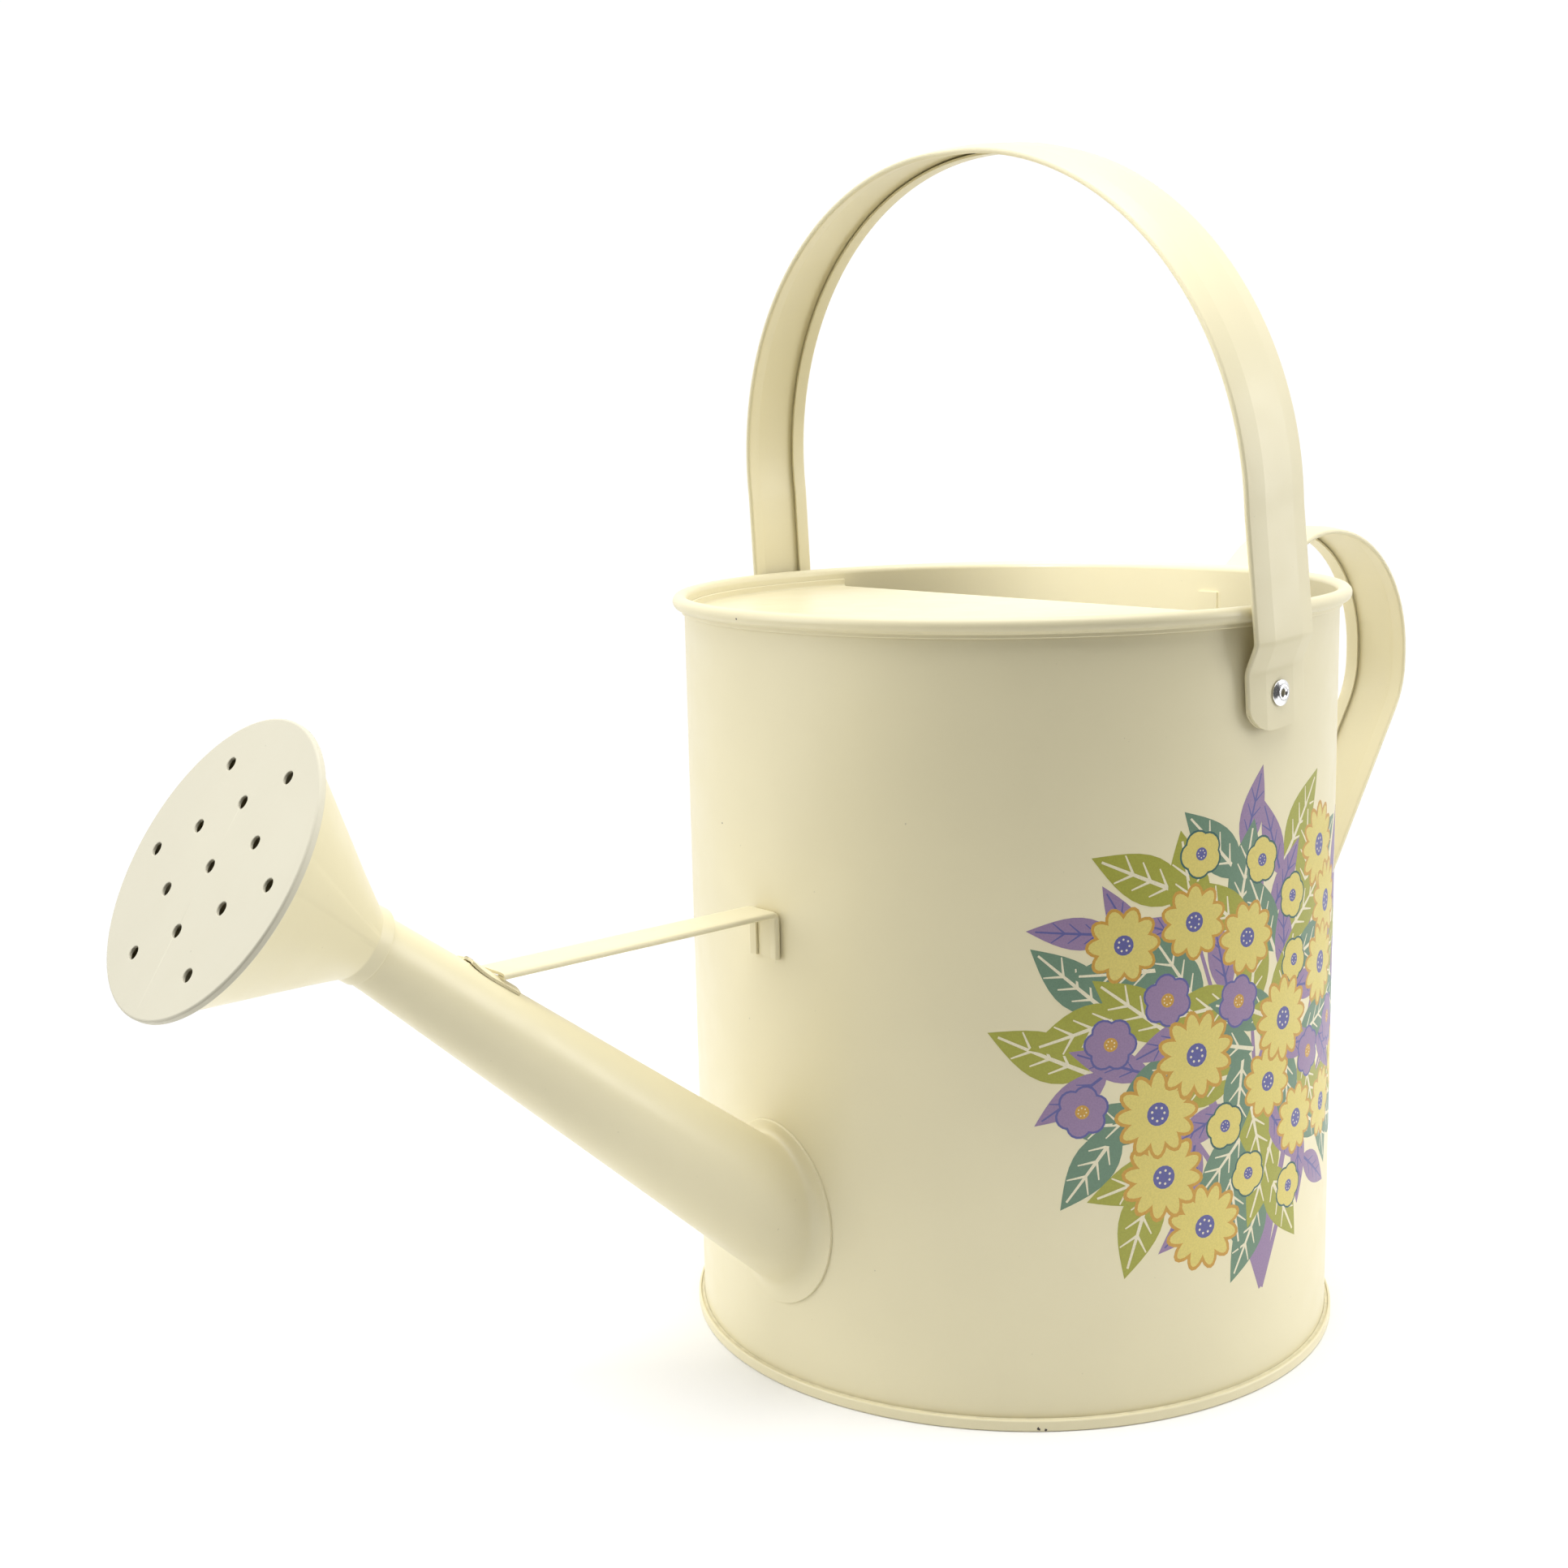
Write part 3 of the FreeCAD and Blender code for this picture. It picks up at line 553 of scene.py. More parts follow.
def drum_outline():
    """The wall's section: hooked out at the bottom, rolled over and tucked in at the rim."""
    inner = DRUM_RADIUS - SHEET
    hook = FOOT_RADIUS - SHEET - GAP
    roll_outside = BEAD / 2 - ROLL_PLAY
    roll_inside = roll_outside - SHEET
    edge = inner + BEAD
    bead_foot = RIM_TOP - BEAD
    lip = DRUM_RADIUS + GAP + SHEET
    levels = [LAP_TOP, LAP_TOP - 0.01, 150, 100, 50, LAP_BASE + 0.01, LAP_BASE]
    return rounded_outline([
        (inner, SHEET + GAP, 0),
        (hook, SHEET + GAP, 0),
        (hook, 2 * SHEET + GAP, 0),
        (DRUM_RADIUS, 2 * SHEET + GAP, 0),
        (DRUM_RADIUS, RIM_TOP - SHEET, roll_inside),
        (edge - SHEET, RIM_TOP - SHEET, roll_inside),
        (edge - SHEET, bead_foot + SHEET, roll_inside),
        (DRUM_RADIUS + GAP, bead_foot + SHEET, 0.3),
        (DRUM_RADIUS + GAP, bead_foot - LIP_DROP, 0.1),
        (lip, bead_foot - LIP_DROP, 0.3),
        (lip, bead_foot, 0.5),
        (edge, bead_foot, roll_outside),
        (edge, RIM_TOP, roll_outside),
        (inner, RIM_TOP, roll_outside),
    ] + [(inner, level, 0) for level in levels])


def lap_shape(angle, radius, height):
    """Thicken the wall inwards where its two edges lap."""
    off_seam = math.remainder(angle, math.tau) * DRUM_RADIUS
    in_lap = abs(off_seam) < LAP_WIDTH / 2 and LAP_BASE < height < LAP_TOP
    if in_lap and abs(radius - DRUM_RADIUS + SHEET) < 1e-3:
        return radius - SHEET, height
    return radius, height


def lap_angles():
    """Even steps round the drum, moved at the lap seam so that its two edges are sharp."""
    half = LAP_WIDTH / 2 / DRUM_RADIUS
    just_outside = 0.0006
    angles = [math.tau * step / RING_STEPS for step in range(RING_STEPS)]
    angles = [angle for angle in angles if abs(math.remainder(angle, math.tau)) > half * 1.3]
    angles += [(share * half) % math.tau for share in (-0.99, -0.5, 0.0, 0.5, 0.99)]
    angles += [(side * (half + just_outside)) % math.tau for side in (-1, 1)]
    return sorted(angles)


def make_drum():
    """Wall with rolled rim, lapped side seam and the opening for the spout."""
    drum = lathe("drum_wall", drum_outline(), shape=lap_shape, angles=lap_angles())
    outer_end, inner_end = -DRUM_RADIUS - 6, -DRUM_RADIUS / 2
    along_spout = Matrix.Translation((0, 0, SPOUT_ROOT_HEIGHT)) @ Matrix.Rotation(math.pi / 2, 4, "Y")
    punch = lathe("punch", [(0, outer_end), (SPOUT_OPENING, outer_end), (SPOUT_OPENING, inner_end),
                            (0, inner_end)], along_spout, steps=64)
    apply_boolean(drum, punch)
    finish_sheet(drum, "can", "body_shell", drum_coat)


def make_base():
    """Sunk base with two pressed rings, folded round the wall's hook to make the foot."""
    inside = DRUM_RADIUS - SHEET - GAP
    top = BASE_RECESS + SHEET

    def pressed(level):
        crest = level + PRESSED_RISE
        rings = []
        for radius in PRESSED_RINGS:
            rings += [(radius - 3, level, 2), (radius - 1.5, crest, 1.2),
                      (radius + 1.5, crest, 1.2), (radius + 3, level, 2)]
        return rings

    outline = rounded_outline(
        [(0, BASE_RECESS, 0)] + pressed(BASE_RECESS) + [
            (inside - SHEET, BASE_RECESS, 1.0),
            (inside - SHEET, 0, 0.63),
            (FOOT_RADIUS, 0, 0.63),
            (FOOT_RADIUS, FOOT_HEIGHT, 0.45),
            (FOOT_RADIUS - SHEET, FOOT_HEIGHT, 0.15),
            (FOOT_RADIUS - SHEET, SHEET, 0),
            (inside, SHEET, 0),
            (inside, top, 1.4),
        ] + pressed(top)[::-1] + [(0, top, 0)])
    base = lathe("base_pressing", outline)
    finish_sheet(base, "can", "base_disc", foot_coat)


def make_guard():
    """Half-moon plate with an upturned edge against the wall and a hem along its front."""
    reach = DRUM_RADIUS - SHEET - GAP
    top = GUARD_TOP - GUARD_FLANGE
    pan = lathe("splash_plate", rounded_outline([
        (0, top - SHEET, 0),
        (reach, top - SHEET, SHEET * 1.6),
        (reach, top + GUARD_FLANGE, 0.2),
        (reach - SHEET, top + GUARD_FLANGE, 0.2),
        (reach - SHEET, top, SHEET),
        (0, top, 0),
    ]))
    past = 100
    block = prism("block", [(-past, -past), (GUARD_EDGE, -past), (GUARD_EDGE, past), (-past, past)],
                  top - 20, top + 20, lambda a, b, along: (a, b, along))
    apply_boolean(pan, block, "INTERSECT")
    chord = math.sqrt(reach ** 2 - GUARD_EDGE ** 2) - 1.5
    hem_back = GUARD_EDGE - 2 * SHEET - 0.1
    hem_radius = SHEET * 0.9
    hem = prism("hem", rounded_outline([
        (hem_back, top - 0.2, 0.2),
        (GUARD_EDGE, top - 0.2, 0.2),
        (GUARD_EDGE, top - GUARD_HEM, hem_radius),
        (hem_back, top - GUARD_HEM, hem_radius),
    ]), -chord, chord, lambda a, b, along: (a, along, b))
    plate = join("splash_plate", pan, hem)
    finish_sheet(plate, "can", "splash_guard", cream_coat, edge=0.12)


# ---------------------------------------------------------------- spout and rose

def spout_point(along, radius, angle):
    """A point beside the spout's axis; angle 0 is to +Y and a quarter turn is up."""
    start = Vector((-DRUM_RADIUS, 0, SPOUT_ROOT_HEIGHT))
    outwards = Vector((-math.cos(SPOUT_TILT), 0, math.sin(SPOUT_TILT)))
    upwards = Vector((math.sin(SPOUT_TILT), 0, math.cos(SPOUT_TILT)))
    arm = Vector((0, 1, 0)) * math.cos(angle) + upwards * math.sin(angle)
    return start + outwards * along + arm * radius


def spout_radius(along):
    """The spout's outer radius at a place along its axis."""
    return SPOUT_ROOT_RADIUS - (SPOUT_ROOT_RADIUS - SPOUT_TIP_RADIUS) * along / SPOUT_LENGTH


def wall_crossing(angle, inset, wall):
    """How far along the spout its side at an angle meets a cylinder about the drum's axis."""
    low, high = -2 * SPOUT_ROOT_RADIUS, 2 * SPOUT_ROOT_RADIUS
    halvings = 40
    for _ in range(halvings):
        middle = (low + high) / 2
        point = spout_point(middle, spout_radius(middle) - inset, angle)
        if math.hypot(point.x, point.y) < wall:
            low = middle
        else:
            high = middle
    return high


def on_wall(point, wall):
    """The point moved level to a cylinder about the drum's axis."""
    scale = wall / math.hypot(point.x, point.y)
    return Vector((point.x * scale, point.y * scale, point.z))


def make_spout():
    """Tapered tube whose root flares through a fillet into a flange that lies on the wall."""
    skin = DRUM_RADIUS + GAP + SHEET
    under = DRUM_RADIUS + GAP
    rings = []
    for step in range(RING_STEPS // 2):
        angle = math.tau * step / (RING_STEPS // 2)
        crossing = wall_crossing(angle, 0, skin)
        corner = spout_point(crossing, spout_radius(crossing), angle)
        away = corner - spout_point(crossing, 0, angle)
        side = Vector((-corner.y, corner.x, 0)).normalized()
        spread = side * away.dot(side) + Vector((0, 0, away.z))
        spread.normalize()

        ring = []
        lengths = [SPOUT_LENGTH, SPOUT_LENGTH - 1, 120, 90, 60, 35]
        lengths += [crossing + SPOUT_FILLET + extra for extra in (8, 3, 1)]
        ring += [spout_point(along, spout_radius(along), angle) for along in lengths]
        begin = spout_point(crossing + SPOUT_FILLET, spout_radius(crossing + SPOUT_FILLET), angle)
        finish = on_wall(corner + spread * SPOUT_FILLET, skin)
        for share in FILLET_SHARES:
            ring.append(begin * (1 - share) ** 2 + corner * 2 * share * (1 - share) + finish * share ** 2)
        rim = SPOUT_FILLET + SPOUT_FLANGE * 0.55
        ring.append(on_wall(corner + spread * (rim - 0.4), skin))
        ring.append(on_wall(corner + spread * (rim - 0.12), skin - 0.06))
        ring.append(on_wall(corner + spread * rim, skin - 0.3))
        ring.append(on_wall(corner + spread * (rim + 0.02), under))
        inner = wall_crossing(angle, SHEET, under)
        bore = (inner, 60, 120, SPOUT_LENGTH)
        ring += [spout_point(along, spout_radius(along) - SHEET, angle) for along in bore]
        rings.append(ring)
    spout = mesh_object("spout_pipe", rings, closed_rings=True)
    finish_sheet(spout, "can", "spout_tube", cream_coat, crease=math.radians(50))


def rose_frame():
    """The frame at the rose's neck, with Z pointing out of its face."""
    start = spout_point(ROSE_NECK_ALONG, 0, 0)
    return Matrix.Translation(start) @ Matrix.Rotation(ROSE_TILT - math.pi / 2, 4, "Y")


def make_rose_cone():
    """Rolled sheet cone with a lapped seam along its side."""
    edge = ROSE_RADIUS - 2 * SHEET
    lip = ROSE_RADIUS - SHEET - GAP
    seam_end = ROSE_LENGTH - 2.2

    def seam(angle, radius, height):
        off = abs(math.remainder(angle - ROSE_SEAM_ANGLE, math.tau)) * radius
        fade = min(1.0, max(0.0, (off - ROSE_SEAM_HALF) / ROSE_SEAM_BLEND))
        step = ROSE_SEAM_STEP * (1 - fade)
        return (radius + step, height) if 0 < height < seam_end else (radius, height)

    outline = rounded_outline([
        (ROSE_NECK_RADIUS - SHEET, -ROSE_SLEEVE, 0.2),
        (ROSE_NECK_RADIUS, -ROSE_SLEEVE, 0.2),
        (ROSE_NECK_RADIUS, 0, 1.4),
        (ROSE_NECK_RADIUS + 5, 8.1, 0),
        (edge, ROSE_LENGTH - 2 * SHEET, 0),
        (lip, ROSE_LENGTH - 2 * SHEET, 0),
        (lip, ROSE_LENGTH - SHEET - GAP, 0),
        (edge - 0.84, ROSE_LENGTH - SHEET - GAP, 0),
        (ROSE_NECK_RADIUS - SHEET, 0.63, 1.4),
    ])
    cone = lathe("rose_cone_sheet", outline, rose_frame(), shape=seam, steps=RING_STEPS)
    finish_sheet(cone, "can", "rose_cone", cream_coat)


def make_rose_face():
    """Disc folded back over the cone's edge, with punched spray holes."""
    disc = lathe("rose_disc", rounded_outline([
        (0, ROSE_LENGTH - SHEET, 0),
        (ROSE_RADIUS - SHEET, ROSE_LENGTH - SHEET, 0.1),
        (ROSE_RADIUS - SHEET, ROSE_LENGTH - ROSE_RIM - SHEET, 0.12),
        (ROSE_RADIUS, ROSE_LENGTH - ROSE_RIM - SHEET, 0.2),
        (ROSE_RADIUS, ROSE_LENGTH, 0.6),
        (0, ROSE_LENGTH, 0),
    ]))
    radius = SPRAY_HOLE / 2
    top = ROSE_LENGTH
    places = [(0.0, 0.0)]
    for turn in range(6):
        angle = math.tau * turn / 6
        places.append((SPRAY_PITCH * math.cos(angle), SPRAY_PITCH * math.sin(angle)))
        reach = SPRAY_PITCH * math.sqrt(3)
        angle += math.pi / 6
        places.append((reach * math.cos(angle), reach * math.sin(angle)))
    hole = [(0, top - 3), (radius, top - 3), (radius, top - 0.22), (radius + 0.06, top - 0.1),
            (radius + 0.22, top + 0.002), (radius + 0.3, top + 1), (0, top + 1)]
    punches = [lathe("punch", hole, Matrix.Translation((across, up, 0)), steps=40) for across, up in places]
    apply_boolean(disc, join("punches", *punches))
    tilt = rose_frame().to_3x3().to_4x4()
    disc.data.transform(Matrix.Translation(rose_frame().translation * MM) @ tilt)
    finish_sheet(disc, "can", "rose_face", rose_face_shaded_coat)


def make_brace():
    """Hemmed strip bent down the wall at one end, with a tongue beaten over the spout at the other."""
    wall = DRUM_RADIUS + GAP
    stations = route_stations([
        (-BRACE_BEND, BRACE_LEVEL - 0.4, 0),
        (-wall, BRACE_LEVEL, 2.3),
        (-wall, BRACE_LEVEL - BRACE_TAB, 0),
    ], spacing=3)
    half = BRACE_WIDTH / 2
    section = folded_strip(half, flat=half - 1.6, shoulder=0.2, depth=BRACE_DEPTH, hem=2.8,
                           left_open=0.0, right_open=0.0)
    strip = sweep_strip("brace_strip", stations, section,
                        lambda across, point: (point.x, across, point.y), -1)

    rings = []
    tongue_steps = 12
    side_steps = 6
    for along in range(tongue_steps + 1):
        share = along / tongue_steps
        distance = TONGUE_START + TONGUE_LENGTH * share
        rest = spout_radius(distance)
        lift = 0.08 + 0.3 * share ** 6
        wide = (half - 0.3) * math.sqrt(1 - 0.6 * share ** 6)
        skin = []
        across = range(-side_steps, side_steps + 1)
        for numbers, height in ((across, SHEET), (reversed(across), 0)):
            for number in numbers:
                angle = math.pi / 2 + wide * number / side_steps / rest
                wave = 0.4 * share ** 2 * math.cos(number * 1.1)
                skin.append(spout_point(distance + wave, rest + lift + height, angle))
        rings.append(skin)
    tongue = mesh_object("tongue", rings)
    brace = join("brace_strip", strip, tongue)
    finish_sheet(brace, "can", "spout_brace", cream_coat, even=False)


# ---------------------------------------------------------------- handles

def strip_section(left_open, right_open):
    """The section that the rear handle and the bail share."""
    return folded_strip(STRIP_WIDTH / 2, flat=5.3, shoulder=0.85, depth=STRIP_DEPTH, hem=4.4,
                        left_open=left_open, right_open=right_open)


def make_rear_handle():
    """Hemmed strip bent from a tab low on the wall, out and over, to a tab under the rim."""
    wall = DRUM_RADIUS + GAP
    low_face = wall + STRIP_DEPTH
    stations = route_stations([
        (low_face, GRIP_LOW_TAB[0], 0),
        (low_face, GRIP_LOW_TAB[1], 10),
        (GRIP_REACH, GRIP_OUTER_BEND, 28),
        (GRIP_REACH, GRIP_TOP, 41.9),
        (GRIP_INNER_BEND, GRIP_TOP, 34),
        (wall, GRIP_HIGH_TAB[1], 10),
        (wall, GRIP_HIGH_TAB[0], 0),
    ], spacing=4)
    section = strip_section(left_open=0.15, right_open=0.8)
    handle = sweep_strip("rear_grip", stations, section,
                         lambda across, point: (point.x, across, point.y), outward=1)
    finish_sheet(handle, "can", "rear_handle", cream_coat, even=False)


def bail_point(across, point):
    """From the bail's own plane to the frame, leaning towards the spout."""
    lean = Matrix.Rotation(-BAIL_LEAN, 3, "Y")
    return lean @ Vector((across, point.x, point.y)) + Vector((0, 0, PIVOT_HEIGHT))


def tab_corner(edge):
    """What is cut off the tab's corner on one edge of the strip to round it."""
    middle = edge * (STRIP_WIDTH / 2 - BAIL_TAB_CORNER)
    rise = BAIL_TAB_CORNER - BAIL_TAB_DROP
    past = 2
    outside = edge * (STRIP_WIDTH / 2 + past)
    outline = [(middle, -BAIL_TAB_DROP - past), (outside, -BAIL_TAB_DROP - past), (outside, rise)]
    arc_steps = 12
    for step in range(arc_steps + 1):
        angle = math.pi / 2 * step / arc_steps
        outline.append((middle + edge * BAIL_TAB_CORNER * math.cos(angle),
                        rise - BAIL_TAB_CORNER * math.sin(angle)))
    return outline


def make_bail():
    """Hemmed strip bent into an arch, with a joggled and rounded tab at each side."""
    half_route = [
        (BAIL_TAB_REACH, -BAIL_TAB_DROP, 0),
        (BAIL_TAB_REACH, BAIL_JOGGLE_START, BAIL_JOGGLE_BEND),
        (BAIL_JOGGLE_REACH, BAIL_JOGGLE_END, BAIL_JOGGLE_BEND),
        (BAIL_RADIUS, BAIL_CENTRE_RISE, BAIL_FLARE_RADIUS),
        (BAIL_RADIUS, BAIL_CENTRE_RISE + BAIL_RADIUS, BAIL_RADIUS - BAIL_CROWN_FLAT),
    ]
    other_half = [(-across, up, radius) for across, up, radius in reversed(half_route)]
    stations = route_stations(half_route + other_half, spacing=3)
    section = strip_section(left_open=0.1, right_open=0.75)
    bail = sweep_strip("bail_arch", stations, section, bail_point, outward=1)
    for side in (-1, 1):
        for edge in (-1, 1):
            inner_end, outer_end = side * (BAIL_TAB_REACH - 5), side * (BAIL_TAB_REACH + 3)
            cutter = prism("cutter", tab_corner(edge), inner_end, outer_end,
                           lambda a, b, along: bail_point(a, Vector((along, b))))
            apply_boolean(bail, cutter)
    finish_sheet(bail, "bail", "bail_handle", cream_coat, even=False)


def make_rivets():
    """Blind rivets: domed flange with a dished middle, shank, and the bulb inside the wall."""
    seat = BAIL_TAB_REACH + 2 * RIVET_PLAY
    grip = seat - DRUM_RADIUS + SHEET
    bore = MANDREL_RADIUS + GAP
    outline = rounded_outline([
        (bore, -grip - RIVET_BULB_LENGTH, 0),
        (RIVET_BULB_RADIUS, -grip - RIVET_BULB_LENGTH, 0.9),
        (RIVET_BULB_RADIUS, -grip, 0.9),
        (RIVET_SHANK, -grip, 0),
        (RIVET_SHANK, 0, 0),
        (RIVET_RADIUS, 0, 0.12),
        (RIVET_RADIUS, RIVET_EDGE, 0.2),
        (2.35, 0.8, 0.6),
        (1.95, RIVET_HEIGHT, 0.5),
        (1.25, RIVET_HEIGHT, 0.25),
        (bore, RIVET_DISH, 0.1),
    ])
    for side, side_name in ((1, "left"), (-1, "right")):
        turned = Matrix.Rotation(-side * math.pi / 2, 4, "X")
        seated = Matrix.Translation((0, side * seat, PIVOT_HEIGHT)) @ turned
        rivet = lathe(f"rivet_{side_name}", outline, seated, steps=72)
        finish_sheet(rivet, "can", f"bail_rivet_{side_name}", bright_rivet)


def dress_cad_nodes():
    """Give the CAD nodes that stay, which hardly show, their own materials."""
    dress = {"rim_wire": drawn_wire, "base_seam_seal": paste,
             "rivet_mandrel_left": snapped_steel, "rivet_mandrel_right": snapped_steel}
    for node, material in dress.items():
        mesh = frame["nodes"][node].data
        mesh.materials.clear()
        mesh.materials.append(material)


# ---------------------------------------------------------------- printed spray of flowers

# The print is an ordinary bunch of daisies and plain leaves laid out by rule. It is drawn flat:
# u is millimetres round the wall from the line under the near rivet, towards the rear handle,
# and v is the height. Later shapes cover earlier ones.

PRINT_MIDDLE = Vector((0, 96))
PRINT_REACH = Vector((66, 57))
PRINT_RAISED = 0.035
PRINT_SUNK = 0.01
PRINT_STRIP = 3.0
GOLDEN_ANGLE = math.pi * (3 - math.sqrt(5))


def srgb(red, green, blue):
    """A colour named in the usual 0 to 255 steps, as the linear values that a shader takes."""
    out = []
    for channel in (red, green, blue):
        level = channel / 255
        out.append(level / 12.92 if level <= 0.04045 else ((level + 0.055) / 1.055) ** 2.4)
    return tuple(out)


INKS = {
    "lime": srgb(160, 160, 62),
    "green": srgb(104, 134, 110),
    "cream": srgb(226, 218, 188),
    "mauve": srgb(146, 122, 156),
    "ochre": srgb(196, 150, 62),
    "yellow": srgb(214, 198, 110),
    "violet": srgb(92, 92, 150),
    "teal": srgb(56, 96, 92),
}

shapes = []


def paint(ink, points):
    """Add a shape on top of the ones before it, with its outline run anticlockwise."""
    outline = [Vector(point) for point in points]
    swept = sum(a.x * b.y - b.x * a.y for a, b in zip(outline, outline[1:] + outline[:1]))
    shapes.append((ink, outline if swept > 0 else outline[::-1]))


def placed(points, place, turn):
    """A motif drawn along +x from the origin, turned and moved to its place."""
    cosine, sine = math.cos(turn), math.sin(turn)
    turned = [(x * cosine - y * sine, x * sine + y * cosine) for x, y in points]
    return [Vector((place[0] + x, place[1] + y)) for x, y in turned]


def oval(ink, length, width, place, turn, offset=0.0, steps=16):
    """An oval with its long way along the turn, starting offset from the place."""
    outline = []
    for step in range(steps):
        angle = math.tau * step / steps
        outline.append((offset + length / 2 * (1 + math.cos(angle)), width / 2 * math.sin(angle)))
    paint(ink, placed(outline, place, turn))


def stroke(ink, start, stop, bow, width, steps=10):
    """A bowed line that tapers to half its width."""
    along = stop - start
    side = Vector((-along.y, along.x)).normalized()
    left, right = [], []
    for step in range(steps + 1):
        share = step / steps
        middle = start + along * share + side * bow * math.sin(math.pi * share)
        half = width / 2 * (1 - share / 2)
        left.append(middle + side * half)
        right.append(middle - side * half)
    paint(ink, left + right[::-1])


def leaf(ink, vein_ink, base, turn, length, width):
    """Plain pointed leaf with a midrib and three pairs of veins."""
    steps = 10
    upper = [(length * step / steps, width / 2 * math.sin(math.pi * (step / steps) ** 0.8))
             for step in range(steps + 1)]
    lower = [(x, -y) for x, y in upper[-2:0:-1]]
    paint(ink, placed(upper + lower, base, turn))
    tip = placed([(length * 0.9, 0)], base, turn)[0]
    stroke(vein_ink, base, tip, 0.0, width * 0.10, 4)
    for share in (0.22, 0.40, 0.58):
        for side in (-1, 1):
            vein = [(length * share, 0), (length * (share + 0.14), side * width * 0.30)]
            start, stop = placed(vein, base, turn)
            stroke(vein_ink, start, stop, 0.0, width * 0.06, 2)


def daisy(centre, radius, petals, petal_ink, edge_ink, eye_ink, turn):
    """Ordinary daisy: round-ended petals with a darker edge, and a dotted eye."""
    width = radius * 1.9 * math.sin(math.pi / petals)
    edge = radius * 0.07
    eye = radius * 0.52
    dot = radius * 0.06
    dots = 7
    for number in range(petals):
        oval(edge_ink, radius, width, centre, turn + math.tau * number / petals)
    for number in range(petals):
        oval(petal_ink, radius - 2.4 * edge, width - 2.2 * edge, centre, turn + math.tau * number / petals,
             1.2 * edge)
    oval(eye_ink, eye, eye, centre, turn, -eye / 2)
    for number in range(dots):
        place = placed([(radius * 0.15, 0)], centre, turn + math.tau * number / dots)[0]
        oval("cream", dot, dot, place, 0, -dot / 2, 6)


def spiral_places(count, spread):
    """Evenly scattered places over the print's oval, each a golden angle on from the last."""
    for number in range(count):
        reach = math.sqrt((number + 0.5) / count) * spread
        angle = number * GOLDEN_ANGLE
        arm = Vector((PRINT_REACH.x * math.cos(angle), PRINT_REACH.y * math.sin(angle)))
        yield number, PRINT_MIDDLE + arm * reach


def draw_stems():
    """Stems from one gathering point below, to the places in the upper part."""
    gather = PRINT_MIDDLE - Vector((0, PRINT_REACH.y + 12))
    for number, place in spiral_places(26, 0.9):
        if place.y > PRINT_MIDDLE.y - 10:
            stroke("mauve", gather, place, (place.x - gather.x) * 0.12, 1.8)


def draw_leaves():
    """Leaves that point outwards, from the rim of the bunch in; kinds are inks, length and width."""
    kinds = (("lime", "cream", 27, 12), ("green", "cream", 25, 11), ("mauve", "violet", 22, 8))
    for number, place in reversed(list(spiral_places(78, 0.98))):
        ink, vein_ink, length, width = kinds[number % len(kinds)]
        outwards = place - PRINT_MIDDLE
        sway = math.radians(24) * (1 if number % 2 else -1)
        turn = math.atan2(outwards.y, outwards.x) + sway
        base = place - Vector((math.cos(turn), math.sin(turn))) * length * 0.45
        leaf(ink, vein_ink, base, turn, length, width)


def draw_daisies():
    """Daisies, from the rim in; kinds are radius, petals, and inks for petal, edge and eye."""
    kinds = (
        (11.5, 12, "yellow", "ochre", "violet"),
        (6.8, 6, "mauve", "violet", "ochre"),
        (9.6, 10, "yellow", "ochre", "violet"),
        (6.2, 5, "yellow", "teal", "violet"),
    )
    for number, place in reversed(list(spiral_places(30, 0.92))):
        radius, petals, petal_ink, edge_ink, eye_ink = kinds[number % len(kinds)]
        daisy(place, radius, petals, petal_ink, edge_ink, eye_ink, number * GOLDEN_ANGLE)


def flat_arrangement():
    """Cut all the shapes into triangles that don't overlap, each in its topmost ink.

    Upright cuts at every PRINT_STRIP keep the triangles narrow enough to bend round the wall.
    """
    points, faces, edges = [], [], []
    for _, outline in shapes:
        start = len(points)
        points += outline
        faces.append(list(range(start, start + len(outline))))
    low = min(point.x for point in points)
    high = max(point.x for point in points)
    bottom = min(point.y for point in points) - 1
    top = max(point.y for point in points) + 1
    for number in range(1, int((high - low) / PRINT_STRIP) + 1):
        start = len(points)
        across = low + number * PRINT_STRIP
        points += [Vector((across, bottom)), Vector((across, top))]
        edges.append((start, start + 1))
    inside_only, weld = 1, 1e-4
    corners, _, triangles, _, _, sources = delaunay_2d_cdt(points, edges, faces, inside_only, weld, True)
    by_ink = {ink: [] for ink in INKS}
    for triangle, source in zip(triangles, sources):
        if source:
            by_ink[shapes[max(source)][0]].append(triangle)
    return corners, by_ink


def make_print():
    """Draw the bunch and wrap each ink round the wall as its own thin layer."""
    draw_stems()
    draw_leaves()
    draw_daisies()
    corners, by_ink = flat_arrangement()
    for ink, triangles in by_ink.items():
        item = object_from_bmesh(f"print_{ink}", ink_layer(corners, triangles))
        shade_print(item.data)
        item.data.materials.append(print_ink(f"ink_{ink}", INKS[ink]))
        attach(item, "can")


